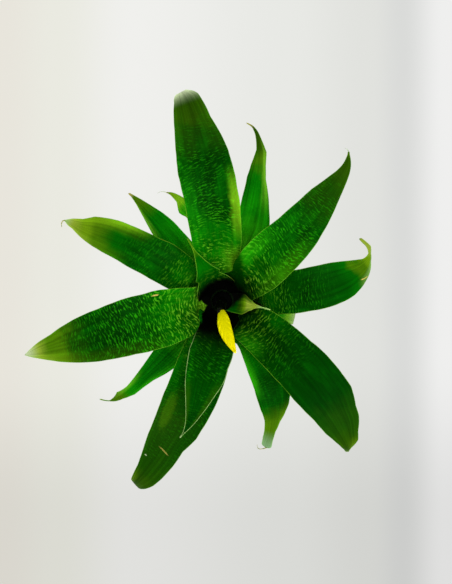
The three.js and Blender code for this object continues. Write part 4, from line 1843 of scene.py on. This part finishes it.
@dataclass
class FlowerSpike:
    """The flat yellow spike: bracts in two ranks that overlap like tiles, and a blunt point."""

    node: str = "flower_spike"
    path: tuple = ((-0.6, -8.2, 98.5), (1.0, -15, 114), (3.0, -24, 130), (6.9, -33.2, 145.5),
                   (11.4, -41.9, 159.5))
    bracts: int = 12
    bract_share: float = 0.36
    last_bract: float = 0.76
    half_width: float = 5.3 * MM
    half_depth: float = 2.9 * MM
    # painted light: the yellow bracts glow in their own colour
    finish: BractFinish = BractFinish(
        Ink.BUD, Ink.BUD_LINE, Ink.BUD_SHADE, Ink.BUD_KEEL, 0.25, 0.3, glow=0.16)

    def build(self, recipe: ClaspingBracts) -> bpy.types.Object:
        """Makes the spike's piece.

        Args:
            recipe: the recipe that sets bracts along a path.

        Returns:
            The piece.
        """
        path = smooth_path(self.path, 14) * MM
        mesh = recipe.run(polyline_mesh("spike_path", [path]), "spike_skin", {
            "Count": self.bracts,
            "Last start": self.last_bract,
            "Length": self.bract_share,
            "Half width": self.half_width,
            "Half depth": self.half_depth,
            "Finish": self.finish.dress("spike_bract"),
        })
        return put_out(mesh, "spike_skin", self.node)


BLUNT = {"peak": 0.45, "taper": 2.2, "point": 1.0, "droop": -50.0}
SLIM = {"fall": -30.0, "curl": 2.2, "peak": 0.2, "taper": 1.5, "point": 1.3, "slot": Slot.OLD_LEAF}


def rosette() -> list[Leaf]:
    """The sixteen leaves, from the youngest to the oldest, each about 137 degrees on from the last."""
    return [
        # painted shade: the dark colours low on the sheath and the two dark bands along its margins;
        # painted light: the glow
        Leaf(0, -7, 34 * MM, 4.4 * MM, LeafFinish(
            ((-2.0, Ink.DEEP), (-1.75, Ink.FOREST), (-1.5, Ink.OLIVE), (-1.2, Ink.WARM_OLIVE),
                (-0.85, Ink.GOLD_GREEN), (-0.5, Ink.PALE_GOLD), (0.3, Ink.PALE_GOLD),
                (0.7, Ink.PALE_LIME)),
            tip=Ink.PALE_LIME, hatch_strength=0.0, cloud_strength=0.0, trough_shade=0.0, streaks=0.25,
            glow=0.4,
            shadows=(Shadow(-10 * MM, 6 * MM, 2 * MM, 8 * MM),),
            bands=(Band(1, -2.0, 0.1, 0.5, Ink.FOREST, 0.85, 0.3),
                Band(-1, -2.0, -0.2, 0.4, Ink.LEAF, 0.7, 0.3))),
            fall=42, curl=1.0, sweep=-12, channel=1.5 * MM, belly=10 * MM, neck=1, peak=0.03, taper=0.8,
            point=1.6, slot=Slot.YOUNG_LEAF),
        Leaf(1, 118, 85 * MM, 13 * MM, LeafFinish(
            ((-0.5, Ink.DEEP), (0.0, Ink.LEAF), (0.3, Ink.FRESH), (0.6, Ink.LEAF),
                (0.85, Ink.WARM_OLIVE)),
            tip=Ink.OLIVE, tip_from=0.88, hatch_strength=0.25, cloud=Ink.FOREST, cloud_strength=0.5,
            trough_shade=0.0, margin_strength=0.6,
            shadows=(Shadow(-4 * MM, 5 * MM, 2.5 * MM),)),
            fall=55, curl=1.0, channel=6 * MM, peak=0.15, taper=1.1, point=2.0),
        Leaf(2, 257.5, 125 * MM, 19 * MM, LeafFinish(
            ((0.0, Ink.DEEP), (0.45, Ink.FOREST), (0.7, Ink.FOREST), (0.9, Ink.DEEP)),
            tip=Ink.SILVER, tip_from=0.97, hatch_strength=0.25, hatch_from=0.5, hatch_to=1.1,
            cloud=Ink.LEAF, cloud_strength=0.5, margin=Ink.PALE_LIME, margin_strength=0.85,
            shadows=(Shadow(12 * MM, 16 * MM, 6 * MM),),
            bands=(Band(-1, 0.65, 1.1, 0.35, Ink.OLIVE, 0.5), Band(1, 0.6, 1.1, 0.35, Ink.OLIVE, 0.5)),
            # painted light: a bright patch low on the sheath's right margin, where the lit wall of the cup
            # shows
            marks=(Mark(-1.0, -0.2, 0.25, 0.17, Ink.BRIGHT, 0.9),)),
            left_margin=((0.28, 2.2), (0.36, 1.1), (0.46, 0), (0.56, 1.0)),
            fall=5, curl=1.2, sweep=-10, hook=-16, hook_from=0.81, peak=0.37, taper=1.96, point=1.5),
        Leaf(3, 42.5, 173 * MM, 23 * MM, LeafFinish(
            ((0.0, Ink.FOREST), (0.2, Ink.FRESH), (0.4, Ink.LEAF), (0.55, Ink.FOREST),
                (0.7, Ink.MOSS), (0.92, Ink.OLIVE)),
            hatch_from=0.1, hatch_to=0.9, cloud=Ink.BRIGHT, cloud_strength=0.3,
            shadows=(Shadow(0, 7 * MM, 11 * MM, 9 * MM, Ink.DEEP, 0.9),
                Shadow(-4 * MM, 7 * MM, 2 * MM, 0)),
            bands=(Band(-1, 0.12, 0.45, 0.55, Ink.WARM_OLIVE, 0.35),
                Band(1, 0.15, 0.35, 0.5, Ink.VIVID, 0.6)),
            marks=(Mark(0.05, 0.22, 0.4, 0.045, Ink.DEEP, 0.6),)),
            left_margin=((-0.06, -3), (0.03, -4), (0.12, -1.5), (0.4, 0), (0.48, -0.7), (0.56, 0.2),
                (0.7, 1.7), (0.86, 0.1), (0.95, 0.7)),
            right_margin=((0.4, 1.0), (0.52, 1.6), (0.62, 0.9), (0.76, 0.2), (0.88, 0.9), (0.96, 0.5)),
            curl_path=((0, -1.5, 0), (0, 0, 0), (-1, 1.2, 0), (-3.2, 2.8, 0)),
            curl_radius=0.4 * MM, curl_finish=DryFinish(Ink.MIST, Ink.SILVER), fall=-22, curl=1.7,
            sweep=18.5, hook=27, peak=0.26, taper=1.57, point=1.12),
        Leaf(4, 195, 178 * MM, 25.3 * MM, LeafFinish(
            # painted light: the spring and vivid colours low on the sheath and the glow stand for the
            # light on the cup's lit wall
            ((-0.35, Ink.SPRING), (-0.05, Ink.VIVID), (0.18, Ink.BRIGHT), (0.28, Ink.FRESH),
                (0.36, Ink.FOREST), (0.48, Ink.DEEP), (0.6, Ink.DEEP), (0.7, Ink.MOSS),
                (0.82, Ink.WARM_OLIVE), (1.0, Ink.PALE_GOLD)),
            tip=Ink.SILVER, tip_from=0.9, hatch_strength=0.95, hatch_to=0.9, hatch_least=0.5, glow=0.3,
            shadows=(Shadow(-13.5 * MM, 2 * MM, 15 * MM, 2 * MM),),
            bands=(Band(-1, -0.3, 0.1, 0.5, Ink.LEAF, 0.35), Band(1, 0.3, 0.8, 0.4, Ink.OLIVE, 0.5),
                Band(1, 0.75, 1.1, 0.5, Ink.GOLD_GREEN, 0.4)),
            marks=(Mark(-0.84, 0.275, 0.03, 0.02, Ink.STRAW, 0.9),)),
            left_margin=((0.38, 0), (0.44, -1), (0.52, 0.1), (0.66, 0.9), (0.82, 0.4), (0.9, -0.3)),
            right_margin=((0.76, -0.3), (0.82, -1), (0.9, 0)),
            curl=1.8, taper=2.2, point=0.92),
        Leaf(5, 323.5, 189.5 * MM, 23.7 * MM, LeafFinish(
            ((0.0, Ink.LEAF), (0.15, Ink.FOREST), (0.3, Ink.DEEP), (0.6, Ink.DEEP), (0.76, Ink.MOSS),
                (0.9, Ink.OLIVE), (1.0, Ink.WARM_OLIVE)),
            tip=Ink.GOLD_GREEN, tip_from=0.94, hatch_to=0.48, cloud_strength=0.2,
            shadows=(Shadow(-6 * MM, 5 * MM, 8 * MM, 8 * MM),),
            bands=(Band(-1, -0.1, 0.2, 0.6, Ink.VIVID, 0.7), Band(1, 0.1, 0.25, 0.5, Ink.FRESH, 0.5),
                Band(1, 0.88, 1.1, 0.75, Ink.GOLD_GREEN, 0.5, 0.05))),
            left_margin=((0.28, -0.3), (0.39, -1.8), (0.47, -0.8), (0.57, -0.9), (0.635, 0.8),
                (0.715, -1.7), (0.76, -0.9), (0.83, -2.0), (0.875, -0.7), (0.92, -4.2), (0.97, -3)),
            right_margin=((0.62, -0.2), (0.68, -0.6), (0.78, 0.1), (0.87, -1.3), (0.92, -1.0),
                (0.96, 1.0)),
            **{**BLUNT, "sweep": -48.5, "peak": 0.5, "point": 1.2, "end_width": 2.4 * MM}),
        Leaf(6, 94.5, 216 * MM, 23.5 * MM, LeafFinish(
            ((0.0, Ink.VIVID), (0.15, Ink.BRIGHT), (0.25, Ink.FRESH), (0.38, Ink.FOREST),
                (0.55, Ink.DEEP), (0.66, Ink.MOSS), (0.76, Ink.OLIVE), (0.9, Ink.OLIVE)),
            # painted light: glow in the cup, the silver tip with tip_glow for the pale backlit end, and
            # the spring band low on the right margin, which the next leaf's margin shades
            tip=Ink.SILVER, tip_from=0.8, tip_to=0.92, glow=0.3, tip_glow=0.5, cloud=Ink.FRESH,
            trough_shade=0.35, shadows=(Shadow(-9 * MM),),
            bands=(Band(-1, 0.28, 0.46, 0.27, Ink.SPRING, 0.8, 0.08),
                Band(1, 0.1, 0.5, 0.5, Ink.BRIGHT, 0.4),
                Band(-1, -0.1, 0.16, 0.6, Ink.SPRING, 0.6, 0.06))),
            left_margin=((0.42, 0), (0.52, 1.9), (0.58, 1.9), (0.68, 0.8), (0.8, 0), (0.84, -0.8),
                (0.9, 0.3)),
            right_margin=((0.58, 0), (0.72, -2.9), (0.84, 0.1), (0.9, -1.6)),
            **{**BLUNT, "fall": -20, "sweep": 25, "droop": -62, "droop_from": 0.7, "peak": 0.4,
               "taper": 2.07, "point": 0.95}),
        Leaf(7, 253, 207 * MM, 22.7 * MM, LeafFinish(
            ((0.05, Ink.VIVID), (0.2, Ink.FRESH), (0.35, Ink.FOREST), (0.52, Ink.MOSS),
                (0.72, Ink.MOSS), (0.86, Ink.OLIVE), (0.95, Ink.WARM_OLIVE)),
            tip=Ink.GOLD_GREEN, tip_from=0.96, hatch_strength=0.5, cloud=Ink.OLIVE, cloud_strength=0.3,
            bands=(Band(-1, 0.1, 0.4, 0.4, Ink.FRESH, 0.5),
                Band(-1, 0.85, 1.0, 0.5, Ink.GOLD_GREEN, 0.6), Band(1, 0.35, 0.65, 0.6, Ink.DEEP, 0.6)),
            marks=(Mark(0.08, 0.64, 0.36, 0.0035, Ink.STRAW, 0.38, 0.02),
                # painted highlight: a thin pale glint
                Mark(-0.72, 0.7, 0.09, 0.003, Ink.SILVER, 0.6),
                Mark(-0.85, 0.135, 0.15, 0.03, Ink.VIVID, 0.7),
                Mark(-0.6, 0.48, 0.25, 0.09, Ink.WARM_OLIVE, 0.3))),
            left_margin=((0.24, 0.8), (0.4, 1.6), (0.49, 0.9), (0.53, 1.3), (0.6, -1.6), (0.68, 0.4),
                (0.8, 2.2), (0.88, 1.2), (0.94, 1.5)),
            right_margin=((0.3, 0), (0.44, 1.5), (0.6, 1.8), (0.66, 1.5), (0.76, -0.6), (0.88, -0.3),
                (0.93, 0.4), (0.97, 0.8)),
            **{**BLUNT, "curl": 2.0, "sweep": -37, "droop": -62, "droop_from": 0.7, "peak": 0.26,
               "taper": 1.7, "point": 0.95}),
        Leaf(8, 6.5, 152 * MM, 19.6 * MM, LeafFinish(
            ((0.0, Ink.VIVID), (0.15, Ink.FRESH), (0.28, Ink.FOREST), (0.4, Ink.DEEP),
                (0.58, Ink.FOREST), (0.69, Ink.LEAF), (0.77, Ink.WARM_OLIVE), (0.84, Ink.GOLD_GREEN)),
            tip=Ink.PALE_GOLD, tip_from=0.84, tip_to=0.9, hatch_to=0.6, cloud=Ink.LEAF,
            cloud_strength=0.4,
            shadows=(Shadow(-8 * MM, 5 * MM),),
            bands=(Band(-1, 0.78, 0.9, 0.4, Ink.MIST, 0.6),),
            marks=(Mark(-0.75, 0.742, 0.17, 0.006, Ink.STRAW, 0.95, -0.125),)),
            left_margin=((0.36, 1.4), (0.44, 0.1), (0.56, -1.5), (0.64, -1.1), (0.79, 1.1),
                (0.88, -1.7), (0.96, 0.6)),
            right_margin=((0.56, -0.3), (0.65, 1.6), (0.72, 1.2), (0.76, -0.1), (0.83, -3.1),
                (0.88, -1.5), (0.92, 2.0), (0.96, 1.5)),
            curl=2.0, sweep=40, hook=92, hook_from=0.72, peak=0.55, taper=1.54, point=2.0),
        Leaf(9, 145, 153.5 * MM, 18.3 * MM, LeafFinish(
            ((-0.3, Ink.LIME), (0.0, Ink.VIVID), (0.15, Ink.FRESH), (0.28, Ink.FOREST),
                (0.48, Ink.FOREST), (0.62, Ink.LEAF), (0.74, Ink.WARM_OLIVE), (0.84, Ink.GOLD_GREEN),
                (0.96, Ink.PALE_GOLD)),
            tip=Ink.PALE_LIME, tip_from=0.92, hatch_strength=0.5, hatch_to=0.65, cloud=Ink.FRESH,
            cloud_strength=0.4, stray=0.04, shadows=(Shadow(-12 * MM),),
            bands=(Band(-1, 0.55, 0.9, 0.5, Ink.GOLD_GREEN, 0.6, 0.14),
                Band(-1, 0.5, 0.68, 0.25, Ink.SPRING, 0.5, 0.1),
                Band(1, 0.6, 0.9, 0.4, Ink.WARM_OLIVE, 0.7, 0.14),
                Band(1, 0.82, 0.95, 0.3, Ink.PALE_GOLD, 0.6))),
            left_margin=((0.2, 1.3), (0.3, 0.8), (0.48, 1.4), (0.6, 0.9), (0.75, 1.1), (0.88, -0.3),
                (0.92, -0.8), (0.96, 0.5)),
            right_margin=((0.4, -2.0), (0.56, -2.0), (0.64, -0.9), (0.72, -0.3), (0.79, 0.7),
                (0.87, -0.9), (0.95, 0.4)),
            fall=-30, curl=2.1, sweep=35, hook=-20, hook_from=0.72, peak=0.32, taper=2.67, point=0.98,
            curl_path=((1, 0, 0), (-1.6, -0.6, 0), (-2.8, -3, -0.5), (-2.6, -6.5, -1)),
            curl_radius=0.6 * MM, slot=Slot.OLD_LEAF),
        Leaf(10, 301, 134 * MM, 14.5 * MM, LeafFinish(
            ((-0.1, Ink.VIVID), (0.2, Ink.BRIGHT), (0.32, Ink.FRESH), (0.45, Ink.FOREST),
                (0.62, Ink.FOREST), (0.8, Ink.WARM_OLIVE)),
            tip=Ink.MIST, tip_from=0.84, hatch_strength=0.3,
            bands=(Band(-1, -0.2, 0.5, 0.4, Ink.VIVID, 0.75, 0.1),
                Band(1, 0.68, 0.85, 0.3, Ink.GOLD_GREEN, 0.4))),
            left_margin=((0.48, 5), (0.56, 4.7), (0.6, 2.3), (0.64, 1.5), (0.68, -0.5), (0.76, -3),
                (0.92, -2), (0.97, -0.6)),
            right_margin=((0.12, -4), (0.18, -4.4), (0.24, -3.6), (0.36, -2), (0.48, -1),
                (0.56, 0.7), (0.66, 2.3), (0.76, 2.3), (0.84, 3.7), (0.92, 2.6), (0.97, 1.2)),
            curl_path=((1, 0.4, 0.4), (-2.5, -0.6, 0.3), (-5.5, -1, 0), (-7.6, 0.2, 0), (-8.2, 3.2, 0)),
            **{**SLIM, "sweep": -26, "hook": -31, "hook_from": 0.4, "peak": 0.52, "taper": 1.3,
               "point": 1.26, "end_width": 4.6 * MM}),
        Leaf(11, 69.5, 165 * MM, 15 * MM, LeafFinish(
            ((0.0, Ink.LIME), (0.3, Ink.VIVID), (0.42, Ink.BRIGHT), (0.58, Ink.FRESH),
                (0.7, Ink.WARM_OLIVE), (0.82, Ink.OLIVE), (0.92, Ink.OLIVE)),
            tip=Ink.STRAW, tip_from=0.92, hatch_strength=0.2, streaks=0.15, trough_shade=0.1,
            bands=(Band(-1, 0.48, 0.8, 0.5, Ink.LIME, 0.5), Band(1, 0.45, 0.72, 0.5, Ink.FOREST, 0.75))),
            left_margin=((0.4, -2), (0.48, 0.4), (0.6, 2.9), (0.68, 2.1), (0.78, -0.5), (0.84, 0.2),
                (0.92, 1.4)),
            right_margin=((0.32, 4), (0.44, 1.4), (0.6, -2.1), (0.68, -0.8), (0.76, 2.0),
                (0.84, 0.5), (0.95, -0.8)),
            **{**SLIM, "sweep": 38.5, "hook": 48, "hook_from": 0.87, "peak": 0.36, "taper": 1.1,
               "point": 1.44}),
        Leaf(12, 225, 134 * MM, 14.5 * MM, LeafFinish(
            ((0.0, Ink.LIME), (0.25, Ink.VIVID), (0.38, Ink.FRESH), (0.55, Ink.FRESH),
                (0.7, Ink.BRIGHT), (0.85, Ink.WARM_OLIVE)),
            tip=Ink.PALE_GOLD, hatch_strength=0.3, streaks=0.18,
            bands=(Band(1, 0.3, 0.7, 0.4, Ink.VIVID, 0.5), Band(-1, 0.62, 0.85, 0.5, Ink.LIME, 0.4))),
            left_margin=((0.44, 0.2), (0.54, -0.8), (0.62, 0), (0.71, 1.5), (0.8, -0.4)),
            right_margin=((0.36, 0.7), (0.68, 1.1), (0.72, 1.4), (0.82, 4.6), (0.92, -0.3)),
            **{**SLIM, "curl": 2.3, "sweep": -7, "hook": -48.5, "hook_from": 0.74, "peak": 0.29,
               "taper": 1.1, "point": 1.6}),
        Leaf(13, 347, 40.5 * MM, 15 * MM, LeafFinish(
            ((0.3, Ink.BRIGHT), (0.6, Ink.VIVID), (0.75, Ink.LIME), (0.95, Ink.PALE_LIME)),
            tip=Ink.SILVER, hatch_strength=0.2),
            fall=-30, curl=2.0, droop=-30, end_width=6 * MM, slot=Slot.OLD_LEAF),
        Leaf(14, 129, 114 * MM, 14 * MM, LeafFinish(
            ((0.0, Ink.LIME), (0.25, Ink.VIVID), (0.4, Ink.BRIGHT), (0.65, Ink.FRESH),
                (0.9, Ink.WARM_OLIVE)),
            tip=Ink.STRAW, tip_from=0.92, hatch_strength=0.2, streaks=0.15, trough_shade=0.2,
            bands=(Band(1, 0.5, 0.9, 0.4, Ink.LIME, 0.4),)),
            left_margin=((0.55, -0.4), (0.72, -0.8), (0.86, -1), (0.96, -0.5)),
            right_margin=((0.4, 0.3), (0.5, 1.3), (0.62, 1.9), (0.8, 1.4), (0.96, 1.5)),
            **{**SLIM, "curl": 2.3, "sweep": 8, "taper": 1.84, "point": 1.26}),
        Leaf(15, 105.5, 95.5 * MM, 12 * MM, LeafFinish(
            ((0.0, Ink.SPRING), (0.55, Ink.SPRING), (0.68, Ink.VIVID), (0.8, Ink.SPRING),
                (1.0, Ink.GOLD_GREEN)),
            tip=Ink.TAN, hatch_strength=0.1, trough_shade=0.0, cloud=Ink.SPRING, cloud_strength=0.4),
            left_margin=((0.44, -0.5), (0.5, -1.5), (0.57, -2.5), (0.62, -1.2), (0.66, 1.5),
                (0.7, 3), (0.74, 2.4), (0.82, -0.3), (0.9, 0)),
            curl_path=((0.5, 0, 0), (-3, 0.8, 0), (-6, 0.6, 0), (-8.5, -1, 0)),
            curl_radius=0.3 * MM, curl_finish=DryFinish(Ink.SILVER, Ink.SILVER),
            **{**SLIM, "curl": 2.3, "sweep": 47, "hook": 17, "hook_from": 0.89, "peak": 0.12,
               "taper": 1.4, "point": 0.9}),
    ]


@dataclass
class Studio:
    """The pale floor, the soft light and the camera."""

    floor_size: float = 6.0
    camera_at: tuple[float, float, float] = (3.56 * MM, 8.9 * MM, 1.0)
    lens: float = 61.64
    sensor: float = 36.0
    sky: float = 0.45
    softbox: float = 1.7
    lamp: float = 1.6
    lamp_turn: float = -50.0
    lamp_lean: float = 35.0
    lamp_spread: float = 40.0
    sky_span: tuple[float, float] = (0.65, 0.9)
    floor_glow: float = 0.975
    floor_shade: float = 0.02
    tones: tuple[tuple[float, str], ...] = (
        (0.0, "e8e5dc"), (0.12, "eaeae1"), (0.28, "f0f0ed"), (0.62, "e8e9e5"), (0.8, "e1e2de"),
        (0.87, "dadbd9"), (0.96, "efefee"))
    tones_across: tuple[float, float] = (-0.22, 0.24)
    front: tuple[float, float] = (-0.22, -0.05)
    front_shade: float = 0.86
    plain_beyond: tuple[float, float] = (0.38, 0.7)
    plain_tone: Ink = Ink.PAPER

    def build(self) -> None:
        """Sets everything up."""
        self.floor()
        self.light()
        self.camera()

    def floor(self) -> None:
        """A plain pale floor, warmer on the left."""
        half = self.floor_size / 2
        mesh = bpy.data.meshes.new("floor")
        mesh.from_pydata([(-half, -half, 0), (half, -half, 0), (half, half, 0), (-half, half, 0)],
                         [], [(0, 1, 2, 3)])
        floor = bpy.data.objects.new("floor", mesh)
        bpy.context.scene.collection.objects.link(floor)
        material, graph, shader = new_material("floor_paper")
        x, y, _ = graph.split(graph.object_place())
        tone = graph.ramp(graph.spread(x, *self.tones_across, smooth=False), self.tones)
        tone = graph.scaled(tone, graph.spread(y, *self.front, self.front_shade, 1.0))
        tone = graph.blend(graph.spread(graph.size(x, y), *self.plain_beyond), tone, self.plain_tone)
        graph.fill(shader, {
            "Base Color": graph.scaled(tone, self.floor_shade),
            "Roughness": 0.9,
            "Specular IOR Level": 0.0,
            "Emission Color": tone,
            "Emission Strength": self.floor_glow,
        })
        mesh.materials.append(material)

    def light(self) -> None:
        """Pale light from all sides, more from overhead, and a broad soft lamp from the right in front."""
        scene = bpy.context.scene
        world = bpy.data.worlds.new("studio")
        world.use_nodes = True
        graph = Graph(world.node_tree)
        _, _, up = graph.split(graph.node("ShaderNodeTexCoord").outputs["Generated"])
        strength = graph.spread(up, *self.sky_span, self.sky, self.softbox)
        graph.fill(world.node_tree.nodes["Background"], {"Color": Ink.SKY, "Strength": strength})
        scene.world = world
        data = bpy.data.lights.new("lamp", "SUN")
        data.energy = self.lamp
        data.angle = math.radians(self.lamp_spread)
        lamp = bpy.data.objects.new("lamp", data)
        lamp.rotation_euler = (0.0, math.radians(self.lamp_lean), math.radians(self.lamp_turn))
        scene.collection.objects.link(lamp)
        scene.view_settings.view_transform = "Standard"
        scene.view_settings.look = "None"

    def camera(self) -> None:
        """A camera straight above the plant."""
        data = bpy.data.cameras.new("camera")
        data.lens = self.lens
        data.sensor_width = self.sensor
        camera = bpy.data.objects.new("camera", data)
        camera.location = self.camera_at
        bpy.context.scene.collection.objects.link(camera)
        bpy.context.scene.camera = camera


def main() -> None:
    """Builds every piece and sets the studio."""
    logging.basicConfig(level=logging.INFO, format="%(name)s: %(message)s")
    skin, curl = LeafSkin(), WitheredTip()
    for leaf in rosette():
        leaf.build(skin, curl)
    StemWithRoots().build()
    bracts = ClaspingBracts()
    FlowerStalk().build(bracts)
    FlowerSpike().build(bracts)
    Studio().build()


if __name__ == "__main__":
    main()
